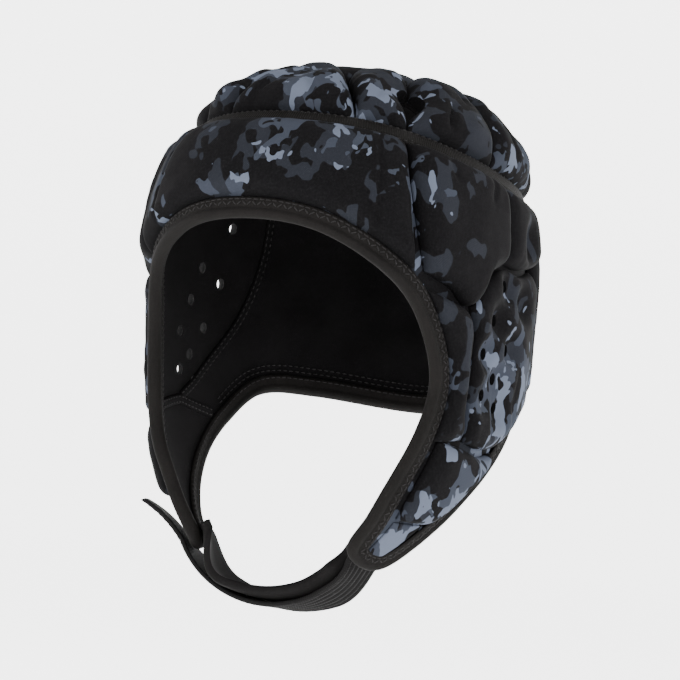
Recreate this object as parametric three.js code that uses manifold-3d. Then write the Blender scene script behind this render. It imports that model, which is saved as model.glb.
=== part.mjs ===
// Padded rugby scrum cap with a chin strap, holding the form of a head.
// Millimetres, +Z up, face towards -Y, the wearer's left towards +X, origin at the inside of the crown.
// A place on the cap is a turn about the vertical axis (degrees, 0 = brow, 90 = left ear, 180 = nape),
// a depth below the crown, and a lift outwards from the inside surface.

import * as THREE from "three";
import { mergeVertices } from "three/addons/utils/BufferGeometryUtils.js";
import Module from "manifold-3d";

// Inside of the cap
const HEAD_WIDTH = 153;
const HEAD_LENGTH = 191;
const HEAD_DEPTH = 235; // crown to under the chin
const SIDE_ROUND = 2.85; // squareness of the dome from ear to ear
const LENGTH_ROUND = 2.6; // and from brow to nape
const FRONT_SQUARE = 2.4; // squareness of the brow half seen from above
const BACK_SQUARE = 2.1;

// Cloth, foam and trim
const LINING = 2.2;
const GAP = 0.8; // between layers, so that their facets stay clear
const SEAM = 0.3; // between panels side by side
const EDGE_CLEAR = 1.0; // between a pad and the binding
const GROOVE = 2.4; // between pads side by side
const PAD_EDGE = 2.0;
const PAD_ROLL = 8.0; // radius of a pad's rounded edge
const CROWN_FOAM = 10.5;
const TOP_FOAM = 11.5;
const BROW_FOAM = 8.0;
const TEMPLE_FOAM = 9.0;
const SIDE_FOAM = 7.5;
const EAR_FOAM = 6.5;
const STRIP_FOAM = 6.0;
const BACK_FOAM = 6.5;
const CHEEK_FOAM = 6.5;
const FLAP = 1.6; // unpadded cloth at the end of a cheek
const BINDING = 1.2;
const BINDING_REACH = 6.8; // how far the binding covers the cloth
const TAPE_WIDTH = 8.0;
const TAPE = 1.6;
const EAR_VENT = 6.0;
const LEAF_LENGTH = 27;
const LEAF_WIDTH = 10;

// Chin strap
const STRAP_WIDTH = 20;
const STRAP = 2.2;
const STRAP_SEWN = 12; // length sewn inside the end of the left cheek
const STRAP_FASTENED = 12; // length held on the outside of the right cheek
const STRAP_TAB = 14; // free end past it
const TAB_RISE = 9; // how far the free end stands off
const STRAP_TURN = 50; // degrees, where it meets the cheek's end
const CHIN_FULLNESS = 113; // how far the strap swings down and forward
const TONGUE_WIDTH = 20;
const TONGUE = 2.4;
const TONGUE_CURL = 5.0; // its front edge turns up towards the chin
const TONGUE_OVERLAP = 4; // length inside each cheek

// Facets
const CELL = 14;
const RIM_STEPS = 3;

const PRINTED = { color: 0x2b2c30, roughness: 0.8, metalness: 0 };
const BLACK = { color: 0x121113, roughness: 0.9, metalness: 0 };
const TRIM = { color: 0x2a2725, roughness: 0.75, metalness: 0 };

// Inside of the cap below the dome, from its widest level down.
// depth: share of HEAD_DEPTH; wide: of half HEAD_WIDTH; front, back: of half HEAD_LENGTH
const FORM = [
  { depth: 0.404, wide: 1.0, front: 1.005, back: 0.985 },
  { depth: 0.553, wide: 1.0, front: 0.98, back: 0.95 },
  { depth: 0.681, wide: 0.95, front: 0.89, back: 0.87 },
  { depth: 0.766, wide: 0.87, front: 0.79, back: 0.796 },
  { depth: 0.83, wide: 0.773, front: 0.738, back: 0.712 },
  { depth: 0.894, wide: 0.643, front: 0.67, back: 0.628 },
  { depth: 1.0, wide: 0.442, front: 0.503, back: 0.461 },
];

// Edge of the cap from the brow over the cheek to the nape, on the left.
// turn: degrees; depth: share of HEAD_DEPTH
const RIM = [
  { turn: 0, depth: 0.274 },
  { turn: 18, depth: 0.289 },
  { turn: 34.5, depth: 0.343 },
  { turn: 46, depth: 0.406 },
  { turn: 54, depth: 0.494 },
  { turn: 56.5, depth: 0.566 },
  { turn: 54, depth: 0.643 },
  { turn: 49, depth: 0.723 },
  { turn: 43.5, depth: 0.809 },
  { turn: 38.5, depth: 0.872 },
  { turn: 48, depth: 0.898 },
  { turn: 60, depth: 0.882 },
  { turn: 76.5, depth: 0.815 },
  { turn: 93.5, depth: 0.73 },
  { turn: 109.5, depth: 0.653 },
  { turn: 126, depth: 0.587 },
  { turn: 147, depth: 0.58 },
  { turn: 180, depth: 0.594 },
];
const BROW_ROW = 3; // rows of RIM where panels meet
const CHEEK_ROW = 6;
const TIP_ROW = 9;
const TIP_BACK_ROW = 11;
const NAPE_ROW = 14;
const LAST_ROW = RIM.length - 1;

// Middle of the tape between the crown and the sides
const TAPE_LINE = [
  { turn: 0, depth: 0.0925 },
  { turn: 30, depth: 0.102 },
  { turn: 60, depth: 0.13 },
  { turn: 90, depth: 0.154 },
  { turn: 120, depth: 0.175 },
  { turn: 150, depth: 0.192 },
  { turn: 180, depth: 0.198 },
];

// Lines between panels and pads on the left, each from its upper end
const BROW_SEAM = [{ turn: 41, depth: 0.12 }, { turn: 42.5, depth: 0.24 }, { turn: 46, depth: 0.406 }];
const EAR_SEAM = [
  { turn: 122, depth: 0.176 },
  { turn: 121.5, depth: 0.32 },
  { turn: 112, depth: 0.455 },
  { turn: 92, depth: 0.57 },
  { turn: 77, depth: 0.622 },
];
const CHEEK_SEAM = [{ turn: 54, depth: 0.643 }, { turn: 77, depth: 0.622 }, { turn: 109.5, depth: 0.653 }];
const TEMPLE_POINT = [
  { turn: 47.5, depth: 0.352 },
  { turn: 57, depth: 0.373 },
  { turn: 65.5, depth: 0.403 },
  { turn: 72, depth: 0.344 },
  { turn: 85.5, depth: 0.311 },
];
const REAR_SIDE_FOOT = [
  { turn: 85.5, depth: 0.311 },
  { turn: 100, depth: 0.317 },
  { turn: 122, depth: 0.3 },
];
const STRIP_BACK = [
  { turn: 65.5, depth: 0.41 },
  { turn: 68.5, depth: 0.45 },
  { turn: 67.5, depth: 0.51 },
  { turn: 68, depth: 0.58 },
  { turn: 72, depth: 0.652 },
];
const EAR_TOP = [
  { turn: 67.5, depth: 0.402 },
  { turn: 74, depth: 0.347 },
  { turn: 86, depth: 0.319 },
  { turn: 101, depth: 0.325 },
  { turn: 122, depth: 0.306 },
];
const EAR_FRONT = [
  { turn: 67.5, depth: 0.402 },
  { turn: 70.5, depth: 0.45 },
  { turn: 69.5, depth: 0.51 },
  { turn: 70, depth: 0.58 },
  { turn: 73, depth: 0.655 },
];
const EAR_FOOT = [
  { turn: 73, depth: 0.655 },
  { turn: 86, depth: 0.666 },
  { turn: 100, depth: 0.643 },
  { turn: 119, depth: 0.565 },
];
const EAR_BACK = [{ turn: 122, depth: 0.306 }, { turn: 122, depth: 0.45 }, { turn: 119, depth: 0.565 }];
const CHEEK_TOP = [
  { turn: 60.5, depth: 0.654 },
  { turn: 73, depth: 0.664 },
  { turn: 86, depth: 0.678 },
  { turn: 97.5, depth: 0.668 },
];
const CHEEK_CREASE = [{ turn: 52, depth: 0.806 }, { turn: 67, depth: 0.809 }];

// Lines between the crown pads on the left. turn: at the tape; lean: degrees further round at the top pad
const CROWN_LINES = [
  { turn: 24.5, lean: -12 },
  { turn: 42, lean: 17 },
  { turn: 83, lean: 28 },
  { turn: 124, lean: 16 },
  { turn: 155, lean: 6 },
];
const TOP_REACH = 0.31; // share of the dome's reach that the top pad covers
const LEAF = { line: 1, reach: 0.63 }; // a slit on the second line

// Vents through ear pads. depth: share of HEAD_DEPTH
const EAR_VENTS = [
  { turn: 88, depth: 0.352 },
  { turn: 101, depth: 0.378 },
  { turn: 82, depth: 0.42 },
  { turn: 93, depth: 0.473 },
  { turn: 76.5, depth: 0.486 },
  { turn: 85, depth: 0.53 },
  { turn: 78.5, depth: 0.562 },
  { turn: 89, depth: 0.583 },
];
const SIDE_VENT = { turn: 104, depth: 0.262 };

const rad = THREE.MathUtils.degToRad;
const vec = (x, y, z) => new THREE.Vector3(x, y, z);
const mix = (a, b, t) => a + (b - a) * t;

// Smooth curve through rows of a table: f(row position) gives one column.
function through(values, at) {
  const last = values.length - 1;
  const i = Math.min(Math.max(Math.floor(at), 0), last - 1);
  const t = at - i;
  const [b, c] = [values[i], values[i + 1]];
  const a = i > 0 ? values[i - 1] : 2 * b - c;
  const d = i + 1 < last ? values[i + 2] : 2 * c - b;
  return 0.5 * (2 * b + (c - a) * t + (2 * a - 5 * b + 4 * c - d) * t * t + (3 * b - a - 3 * c + d) * t * t * t);
}

// Position in the table where a column reaches a value, by halving.
function rowAt(values, value) {
  let [low, high] = [0, values.length - 1];
  for (let k = 0; k < 40; k++) {
    const middle = (low + high) / 2;
    if (through(values, middle) < value) low = middle;
    else high = middle;
  }
  return (low + high) / 2;
}

const formDepths = FORM.map((row) => row.depth * HEAD_DEPTH);
const DOME_HEIGHT = formDepths[0];
const reachAt = (depth, round = LENGTH_ROUND) =>
  depth >= DOME_HEIGHT ? 1 : (1 - (1 - Math.max(depth, 0) / DOME_HEIGHT) ** round) ** (1 / round);
const depthAtReach = (reach) => DOME_HEIGHT * (1 - (1 - reach ** LENGTH_ROUND) ** (1 / LENGTH_ROUND));

function section(depth) {
  const row = depth > DOME_HEIGHT ? rowAt(formDepths, depth) : 0;
  const column = (name, half, round) => through(FORM.map((r) => r[name]), row) * half * reachAt(depth, round);
  return {
    wide: column("wide", HEAD_WIDTH / 2, SIDE_ROUND),
    front: column("front", HEAD_LENGTH / 2, LENGTH_ROUND),
    back: column("back", HEAD_LENGTH / 2, LENGTH_ROUND),
  };
}

// Inside surface: a squared oval at each depth.
function formPoint(turn, depth) {
  const s = section(depth);
  const [sin, cos] = [Math.sin(rad(turn)), Math.cos(rad(turn))];
  const square = cos > 0 ? FRONT_SQUARE : BACK_SQUARE;
  const along = cos > 0 ? s.front : s.back;
  if (s.wide < 1e-9) return vec(0, 0, -depth);
  const r = ((Math.abs(sin) / s.wide) ** square + (Math.abs(cos) / along) ** square) ** (-1 / square);
  return vec(r * sin, -r * cos, -depth);
}

const STEP = 0.05;
const POLE = 0.02;
function slopes(turn, depth) {
  const round = formPoint(turn + STEP, depth).sub(formPoint(turn - STEP, depth)).divideScalar(2 * STEP);
  const down = formPoint(turn, depth + STEP / 10).sub(formPoint(turn, depth - STEP / 10)).divideScalar(STEP / 5);
  return { round, down };
}
function formNormal(turn, depth) {
  if (depth < POLE) return vec(0, 0, 1);
  const { round, down } = slopes(turn, depth);
  return down.cross(round).normalize();
}
const place = (at, lift) => formPoint(at.turn, at.depth).addScaledVector(formNormal(at.turn, at.depth), lift);

// A place moved along the surface by a vector lying in it.
function moved(at, vector) {
  const { round, down } = slopes(at.turn, at.depth);
  const [rr, dd, rd] = [round.dot(round), down.dot(down), round.dot(down)];
  const [vr, vd] = [vector.dot(round), vector.dot(down)];
  const det = rr * dd - rd * rd;
  return { turn: at.turn + (vr * dd - vd * rd) / det, depth: at.depth + (vd * rr - vr * rd) / det };
}

const mirrored = (at) => ({ turn: -at.turn, depth: at.depth });
const sized = (rows) => rows.map((r) => ({ turn: r.turn, depth: r.depth * HEAD_DEPTH }));

// Curve f(t), t from 0 to 1, through the rows of a table.
function line(rows) {
  const [turns, depths] = [rows.map((r) => r.turn), rows.map((r) => r.depth * HEAD_DEPTH)];
  return (t) => ({ turn: through(turns, t * (rows.length - 1)), depth: through(depths, t * (rows.length - 1)) });
}

// Edge of the cap at a row position: 0 at the brow, LAST_ROW at the nape, negative on the right.
const rimTurns = [-RIM[1].turn, ...RIM.map((r) => r.turn), 360 - RIM[LAST_ROW - 1].turn];
const rimDepths = [RIM[1].depth, ...RIM.map((r) => r.depth), RIM[LAST_ROW - 1].depth].map((d) => d * HEAD_DEPTH);
function rim(row) {
  const at = Math.abs(row) + 1;
  const half = { turn: through(rimTurns, at), depth: through(rimDepths, at) };
  return row < 0 ? mirrored(half) : half;
}
// Direction that leads from the edge into the cloth.
function rimInward(row) {
  const ahead = place(rim(row + 0.02), 0).sub(place(rim(row - 0.02), 0));
  const at = rim(row);
  return formNormal(at.turn, at.depth).cross(ahead).normalize();
}
const besideRim = (row, distance) => moved(rim(row), rimInward(row).multiplyScalar(distance));

function tapeMiddle(turn) {
  const round = Math.abs(((turn + 540) % 360) - 180);
  const spacing = TAPE_LINE[1].turn;
  const depths = [TAPE_LINE[1], ...TAPE_LINE, TAPE_LINE[TAPE_LINE.length - 2]].map((r) => r.depth);
  return { turn, depth: through(depths, round / spacing + 1) * HEAD_DEPTH };
}
// Beside the tape's middle by a distance: positive is down the sides.
function besideTape(turn, distance) {
  const at = tapeMiddle(turn);
  return { turn, depth: at.depth + distance / slopes(turn, at.depth).down.length() };
}
const TAPE_SIDE = TAPE_WIDTH / 2 + SEAM;

// Closed solid between an outer and an inner grid of points, wrapped round when closed is set.
function shell(outer, inner, closed = false) {
  const [rows, columns] = [outer.length, outer[0].length];
  const positions = [];
  const quad = (a, b, c, d) => {
    for (const p of [a, b, c, a, c, d]) positions.push(p.x, p.y, p.z);
  };
  const spans = closed ? columns : columns - 1;
  for (let j = 0; j < rows - 1; j++)
    for (let i = 0; i < spans; i++) {
      const k = (i + 1) % columns;
      quad(outer[j][i], outer[j + 1][i], outer[j + 1][k], outer[j][k]);
      quad(inner[j][i], inner[j][k], inner[j + 1][k], inner[j + 1][i]);
    }
  const pole = outer[0][0].distanceTo(outer[0][1]) < POLE;
  for (let i = 0; i < spans; i++) {
    const k = (i + 1) % columns;
    if (!pole) quad(outer[0][i], outer[0][k], inner[0][k], inner[0][i]);
    quad(outer[rows - 1][k], outer[rows - 1][i], inner[rows - 1][i], inner[rows - 1][k]);
  }
  for (let j = 0; j < rows - 1 && !closed; j++) {
    quad(outer[j + 1][0], outer[j][0], inner[j][0], inner[j + 1][0]);
    quad(outer[j][columns - 1], outer[j + 1][columns - 1], inner[j + 1][columns - 1], inner[j][columns - 1]);
  }
  return new THREE.BufferGeometry().setAttribute("position", new THREE.Float32BufferAttribute(positions, 3));
}

// Place inside a patch bounded by four curves; u runs to the wearer's left, v runs down.
function patchPlace({ top, foot, near, far }, u, v) {
  const column = (name) => {
    const corners =
      (1 - u) * (1 - v) * top(0)[name] + u * (1 - v) * top(1)[name] +
      (1 - u) * v * foot(0)[name] + u * v * foot(1)[name];
    return (1 - v) * top(u)[name] + v * foot(u)[name] + (1 - u) * near(v)[name] + u * far(v)[name] - corners;
  };
  return { turn: column("turn"), depth: column("depth") };
}

// Lining panel: the patch with whole cells, so that its edge shares the stations of the rim.
function lining(sides, across, down) {
  const grid = (lift) =>
    Array.from({ length: down + 1 }, (_, j) =>
      Array.from({ length: across + 1 }, (_, i) => place(patchPlace(sides, i / across, j / down), lift)));
  return shell(grid(LINING), grid(0));
}

function lengthOf(curve, steps = 6) {
  let sum = 0;
  for (let k = 0; k < steps; k++) sum += place(curve(k / steps), 0).distanceTo(place(curve((k + 1) / steps), 0));
  return sum;
}

// Distances from one edge of a pad to the other: close together on the rounded edges.
function stations(length, cells) {
  const edge = 0.4 * Math.min(PAD_ROLL, 0.45 * length);
  const flat = length - 2 * edge;
  const middle = Array.from({ length: cells + 1 }, (_, k) => edge + (flat * k) / cells);
  return [0, ...middle, length];
}
function rounded(distance, length) {
  const roll = Math.min(PAD_ROLL, 0.45 * length);
  const share = Math.min(Math.min(distance, length - distance) / roll, 1);
  return Math.sqrt(Math.max(1 - (1 - share) ** 2, 0));
}

// Foam pad: the patch set in from its neighbours, with rounded edges and a full middle.
function pad(sides, foam, inset = GROOVE / 2) {
  const acrossLength = (v) => lengthOf((u) => patchPlace(sides, u, v));
  const downLength = (u) => lengthOf((v) => patchPlace(sides, u, v));
  const roll = 0.8 * PAD_ROLL + 2 * inset;
  const cells = (length) => Math.max(2, Math.round((length - roll) / CELL));
  const across = cells(Math.max(acrossLength(0.2), acrossLength(0.5), acrossLength(0.8)));
  const down = cells(Math.max(downLength(0.2), downLength(0.5), downLength(0.8)));
  const rows = down + 3;
  const columns = across + 3;
  const [outer, inner] = [[], []];
  const middleLength = downLength(0.5);
  const middleRows = stations(middleLength - 2 * inset, down);
  for (let j = 0; j < rows; j++) {
    const v0 = (inset + middleRows[j]) / middleLength;
    const wide = acrossLength(v0);
    const places = stations(wide - 2 * inset, across);
    const [outerRow, innerRow] = [[], []];
    for (let i = 0; i < columns; i++) {
      const u = (inset + places[i]) / wide;
      const tall = downLength(u);
      const drop = stations(tall - 2 * inset, down)[j];
      const at = patchPlace(sides, u, (inset + drop) / tall);
      const full = rounded(places[i], wide - 2 * inset) * rounded(drop, tall - 2 * inset);
      outerRow.push(place(at, LINING + GAP + mix(PAD_EDGE, foam, full)));
      innerRow.push(place(at, LINING + GAP));
    }
    outer.push(outerRow);
    inner.push(innerRow);
  }
  return shell(outer, inner);
}

// The same four curves on the other side of the cap.
function flipped({ top, foot, near, far }) {
  return {
    top: (t) => mirrored(top(1 - t)),
    foot: (t) => mirrored(foot(1 - t)),
    near: (t) => mirrored(far(t)),
    far: (t) => mirrored(near(t)),
  };
}

// Panels of the lining
const half = SEAM / 2;
const shifted = (curve, mm) => (t) => {
  const at = curve(t);
  return { turn: at.turn + mm / slopes(at.turn, at.depth).round.length(), depth: at.depth };
};
const lowered = (curve, mm) => (t) => {
  const at = curve(t);
  return { turn: at.turn, depth: at.depth + mm / slopes(at.turn, at.depth).down.length() };
};
const between = (a, b) => (t) => ({ turn: mix(a.turn, b.turn, t), depth: mix(a.depth, b.depth, t) });
const alongTape = (a, b, distance) => (t) => besideTape(mix(a, b, t), distance);
const alongRim = (a, b, distance = 0) => (t) => besideRim(mix(a, b, t), distance);

const browSeam = line(BROW_SEAM);
const earSeam = line(EAR_SEAM);
// two straight runs, before and behind the foot of the ear seam
const [cheekFront, cheekMiddle, cheekBack] = sized(CHEEK_SEAM);
const cheekSeam = (t) =>
  t < 0.5 ? between(cheekFront, cheekMiddle)(2 * t) : between(cheekMiddle, cheekBack)(2 * t - 1);
const seamTurn = { brow: BROW_SEAM[0].turn, ear: EAR_SEAM[0].turn };

// A side made of two curves, the first taking a share of the way.
const joined = (a, b, share) => (t) => (t < share ? a(t / share) : b((t - share) / (1 - share)));

// A seam's line, tied to the tape at its upper end.
const fromTape = (curve, turn) => (t) => {
  const at = curve(t);
  const top = besideTape(turn, 0).depth - curve(0).depth;
  return { turn: at.turn, depth: at.depth + top * (1 - t) };
};
const browLine = fromTape(browSeam, seamTurn.brow);
const earLine = fromTape(earSeam, seamTurn.ear);

function crownLining() {
  const across = 30;
  const down = 5;
  const grid = (lift) =>
    Array.from({ length: down + 1 }, (_, j) =>
      Array.from({ length: across }, (_, i) => {
        const turn = (360 * i) / across;
        const edge = reachAt(besideTape(turn, -half).depth);
        return place({ turn, depth: j ? depthAtReach((edge * j) / down) : 0 }, lift);
      }));
  return shell(grid(LINING), grid(0), true);
}

function browLining() {
  const steps = BROW_ROW * RIM_STEPS;
  const side = (sign) => (t) => {
    const at = shifted(browLine, -half)(t);
    return sign > 0 ? at : mirrored(at);
  };
  const top = alongTape(-side(1)(0).turn, side(1)(0).turn, half);
  const foot = alongRim(-BROW_ROW + 0.01, BROW_ROW - 0.01);
  const edge = (sign) => (t) => {
    const at = side(sign)(t);
    const [a, b] = [top(sign > 0 ? 1 : 0), foot(sign > 0 ? 1 : 0)];
    return { turn: at.turn, depth: at.depth + (a.depth - side(sign)(0).depth) * (1 - t) + (b.depth - side(sign)(1).depth) * t };
  };
  return lining({ top, foot, near: edge(-1), far: edge(1) }, 2 * steps, 6);
}

// Side panel over the ear: from the brow seam and the face edge back to the ear seam.
const SIDE_SEAM_CELLS = 3;
const SIDE_RIM_CELLS = (CHEEK_ROW - BROW_ROW) * RIM_STEPS;
function sidePanel() {
  const down = SIDE_SEAM_CELLS + SIDE_RIM_CELLS;
  const share = SIDE_SEAM_CELLS / down;
  const start = shifted(browLine, half);
  const startTurn = start(0).turn;
  const end = shifted(earLine, -half);
  const top = alongTape(startTurn, end(0).turn, half);
  const near = joined((t) => (t === 0 ? top(0) : start(t)), alongRim(BROW_ROW, CHEEK_ROW - 0.01), share);
  const far = (t) => (t === 0 ? top(1) : lowered(end, -half * t)(t));
  const foot = between(near(1), far(1));
  return { sides: { top, foot, near, far }, across: 7, down };
}

function cheekPanel() {
  const cells = (TIP_ROW - CHEEK_ROW) * RIM_STEPS;
  const top = lowered(cheekSeam, half);
  const near = (t) => (t === 0 ? top(0) : rim(mix(CHEEK_ROW, TIP_ROW, t)));
  const far = (t) => (t === 0 ? top(1) : rim(mix(NAPE_ROW, TIP_BACK_ROW, t)));
  const foot = alongRim(TIP_ROW, TIP_BACK_ROW);
  return { sides: { top, foot, near, far }, across: (TIP_BACK_ROW - TIP_ROW) * RIM_STEPS, down: cells };
}

function backLining() {
  const seamCells = 2;
  const rimCells = (LAST_ROW - NAPE_ROW) * RIM_STEPS;
  const across = 2 * (seamCells + rimCells);
  const leftFoot = (t) => {
    // t from 0 at the ear seam to 1 at the nape's middle
    const share = seamCells / (seamCells + rimCells);
    if (t >= share) return rim(mix(NAPE_ROW, LAST_ROW, (t - share) / (1 - share)));
    return lowered(shifted(cheekSeam, half * (1 - t / share)), -half)(mix(0.5, 1, t / share));
  };
  const other = (at) => ({ turn: 360 - at.turn, depth: at.depth });
  const near = (t) => (t === 0 ? top(0) : t === 1 ? leftFoot(0) : shifted(earLine, half)(t));
  const top = alongTape(shifted(earLine, half)(0).turn, 360 - shifted(earLine, half)(0).turn, half);
  const foot = (t) => (t <= 0.5 ? leftFoot(2 * t) : other(leftFoot(2 - 2 * t)));
  const far = (t) => other(near(t));
  return lining({ top, foot, near, far }, across, SIDE_SEAM_CELLS + SIDE_RIM_CELLS);
}

// Pads of the crown, between lines that lean round towards the top pad
const crownPlace = (lineRow, reachShare) => {
  const edge = reachAt(besideTape(lineRow.turn, -TAPE_SIDE).depth);
  const reach = mix(TOP_REACH, edge, reachShare);
  const turn = lineRow.turn + lineRow.lean * (1 - reachShare) ** 1.4;
  return { turn, depth: depthAtReach(reach) };
};
function crownSides(from, to) {
  const [a, b] = [from.turn, to.turn];
  const [topA, topB] = [crownPlace(from, 0).turn, crownPlace(to, 0).turn];
  const inset = GROOVE / 2;
  return {
    top: (t) => ({ turn: mix(topA, topB, t), depth: depthAtReach(TOP_REACH) }),
    foot: alongTape(a, b, inset - TAPE_SIDE),
    near: (t) => (t === 1 ? besideTape(a, inset - TAPE_SIDE) : crownPlace(from, t)),
    far: (t) => (t === 1 ? besideTape(b, inset - TAPE_SIDE) : crownPlace(to, t)),
  };
}
const flippedLine = (row) => ({ turn: -row.turn, lean: -row.lean });
const backLine = (row) => ({ turn: 360 - row.turn, lean: -row.lean });

function topPad() {
  const radius = TOP_REACH;
  const across = 20;
  const rings = [0, 0.5, 0.86, 1];
  const ring = (share, lift) =>
    Array.from({ length: across }, (_, i) => {
      const turn = (360 * i) / across;
      const edge = place({ turn, depth: depthAtReach(radius) }, 0).length();
      const reach = radius * (1 - GROOVE / 2 / edge) * share;
      return place({ turn, depth: share ? depthAtReach(reach) : 0 }, lift);
    });
  const height = (share) => mix(PAD_EDGE, TOP_FOAM, Math.sqrt(1 - share ** 5));
  const outer = rings.map((share) => ring(share, LINING + GAP + height(share)));
  return shell(outer, rings.map((share) => ring(share, LINING + GAP)), true);
}

// Pads of the sides
const tapeFoot = TAPE_SIDE - GROOVE / 2;
const rimClear = BINDING_REACH + EDGE_CLEAR - GROOVE / 2;
const tiedTop = (turnA, turnB) => alongTape(turnA, turnB, tapeFoot);

// A side that starts at the tape and ends at a given place, following turns of its own.
const downFrom = (turn, end, bow = 0) => {
  const start = besideTape(turn, tapeFoot);
  return (t) => ({
    turn: mix(start.turn, end.turn, t) + 4 * bow * t * (1 - t),
    depth: mix(start.depth, end.depth, t),
  });
};

function browPadSides() {
  const row = BROW_ROW - 0.42;
  const end = besideRim(row, rimClear);
  const far = downFrom(seamTurn.brow, end, -0.8);
  return {
    top: tiedTop(-seamTurn.brow, seamTurn.brow),
    foot: alongRim(-row, row, rimClear),
    near: (t) => mirrored(far(t)),
    far,
  };
}
function templeSides() {
  const point = line(TEMPLE_POINT);
  return {
    top: tiedTop(seamTurn.brow, TEMPLE_POINT[4].turn),
    foot: point,
    near: downFrom(seamTurn.brow, point(0), -1.2),
    far: downFrom(TEMPLE_POINT[4].turn, point(1)),
  };
}
function rearSideSides() {
  const foot = line(REAR_SIDE_FOOT);
  return {
    top: tiedTop(foot(0).turn, foot(1).turn),
    foot,
    near: downFrom(foot(0).turn, foot(0)),
    far: downFrom(foot(1).turn, foot(1)),
  };
}
function earStripSides() {
  const [first, last] = [BROW_ROW - 0.1, CHEEK_ROW + 0.1];
  const near = alongRim(first, last, rimClear);
  const far = line(STRIP_BACK);
  return { top: between(near(0), far(0)), foot: between(near(1), far(1)), near, far };
}
const earSides = () => ({ top: line(EAR_TOP), foot: line(EAR_FOOT), near: line(EAR_FRONT), far: line(EAR_BACK) });
function cheekSides() {
  const [top, foot] = [line(CHEEK_TOP), line(CHEEK_CREASE)];
  const front = alongRim(CHEEK_ROW + 0.2, TIP_ROW - 1.1, rimClear);
  const back = alongRim(NAPE_ROW - 0.2, TIP_BACK_ROW + 0.6, rimClear);
  // the side curves keep their own bend and are stretched to meet the top and the crease
  const stretched = (curve, from, to) => (t) => {
    const at = curve(t);
    return {
      turn: at.turn + (from.turn - curve(0).turn) * (1 - t) + (to.turn - curve(1).turn) * t,
      depth: at.depth + (from.depth - curve(0).depth) * (1 - t) + (to.depth - curve(1).depth) * t,
    };
  };
  return {
    top, foot,
    near: stretched(front, top(0), foot(0)),
    far: stretched(back, top(1), foot(1)),
  };
}
function backPadSides(turnA, turnB, rowA, rowB) {
  const foot = alongRim(rowA, rowB, rimClear);
  return {
    top: tiedTop(turnA, turnB),
    foot,
    near: downFrom(turnA, foot(0)),
    far: downFrom(turnB, foot(1)),
  };
}

// Unpadded end of a cheek, below the crease
function flap(on) {
  const top = lowered(line(CHEEK_CREASE), GROOVE);
  const foot = alongRim(TIP_ROW + 0.55, TIP_BACK_ROW - 0.55, BINDING_REACH + EDGE_CLEAR);
  const sides = on({ top, foot, near: between(top(0), foot(0)), far: between(top(1), foot(1)) });
  const [across, down] = [5, 3];
  const grid = (lift) =>
    Array.from({ length: down + 1 }, (_, j) =>
      Array.from({ length: across + 1 }, (_, i) => place(patchPlace(sides, i / across, j / down), lift)));
  return shell(grid(LINING + GAP + FLAP), grid(LINING + GAP));
}

// Trim: the tape over the crown seam, and the binding folded over the edge of the cap
function crownTape() {
  const across = 40;
  const spread = [-1, 1];
  const grid = (lift) =>
    spread.map((s) =>
      Array.from({ length: across }, (_, i) => place(besideTape((360 * i) / across, (s * TAPE_WIDTH) / 2), lift)));
  return shell(grid(LINING + GAP + TAPE), grid(LINING + GAP), true);
}

function rimBinding() {
  const [inner, outer] = [-GAP, LINING + GAP];
  const reach = -BINDING_REACH;
  // across: away from the cloth; lift: outwards
  const profile = [
    { across: reach, lift: outer + BINDING },
    { across: GAP + BINDING / 2, lift: outer + BINDING },
    { across: GAP + BINDING, lift: (inner + outer) / 2 },
    { across: GAP + BINDING / 2, lift: inner - BINDING },
    { across: reach, lift: inner - BINDING },
    { across: reach, lift: inner },
    { across: GAP, lift: inner },
    { across: GAP, lift: outer },
    { across: reach, lift: outer },
  ];
  const count = 2 * LAST_ROW * RIM_STEPS;
  const rings = Array.from({ length: count }, (_, k) => {
    const row = k / RIM_STEPS - LAST_ROW;
    const at = rim(row);
    const away = rimInward(row).negate();
    return profile.map((p) => place(at, p.lift).addScaledVector(away, p.across)).reverse();
  });
  return tube(rings, profile, true);
}

// Solid through rings of points, each ring an outline carried along. Both ends are capped,
// or with closed the last ring joins the first.
function tube(rings, outline, closed = false) {
  const positions = [];
  const size = rings[0].length;
  const put = (a, b, c) => {
    for (const p of [a, b, c]) positions.push(p.x, p.y, p.z);
  };
  const spans = closed ? rings.length : rings.length - 1;
  for (let k = 0; k < spans; k++) {
    const [a, b] = [rings[k], rings[(k + 1) % rings.length]];
    for (let i = 0; i < size; i++) {
      const n = (i + 1) % size;
      put(a[i], b[i], b[n]);
      put(a[i], b[n], a[n]);
    }
  }
  if (!closed) {
    const flat = outline.map((p) => new THREE.Vector2(p.across, p.lift));
    const [first, last] = [rings[0], rings[rings.length - 1]];
    for (const [i, j, k] of THREE.ShapeUtils.triangulateShape(flat, [])) {
      put(first[i], first[j], first[k]);
      put(last[i], last[k], last[j]);
    }
  }
  return new THREE.BufferGeometry().setAttribute("position", new THREE.Float32BufferAttribute(positions, 3));
}

// Middle line of the chin strap: inside the end of the left cheek, under the chin, over the right one.
// A station holds a point on the inside surface's level, the way along, the way out, and its share of the way round.
const TRACK_TURN = 0.12; // degrees further back for each millimetre up
const TRACK_DROP = 0.93; // depth for each millimetre
const PAST_END = 3; // the strap follows the left cheek this far past its end
const BEFORE_END = 4; // and leaves the right one this far before it
const strapFoot = besideRim(mix(TIP_ROW, TIP_BACK_ROW, 0.5), 0);
const cheekTrack = (up) => ({ turn: STRAP_TURN + up * TRACK_TURN, depth: strapFoot.depth - up * TRACK_DROP });

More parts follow.
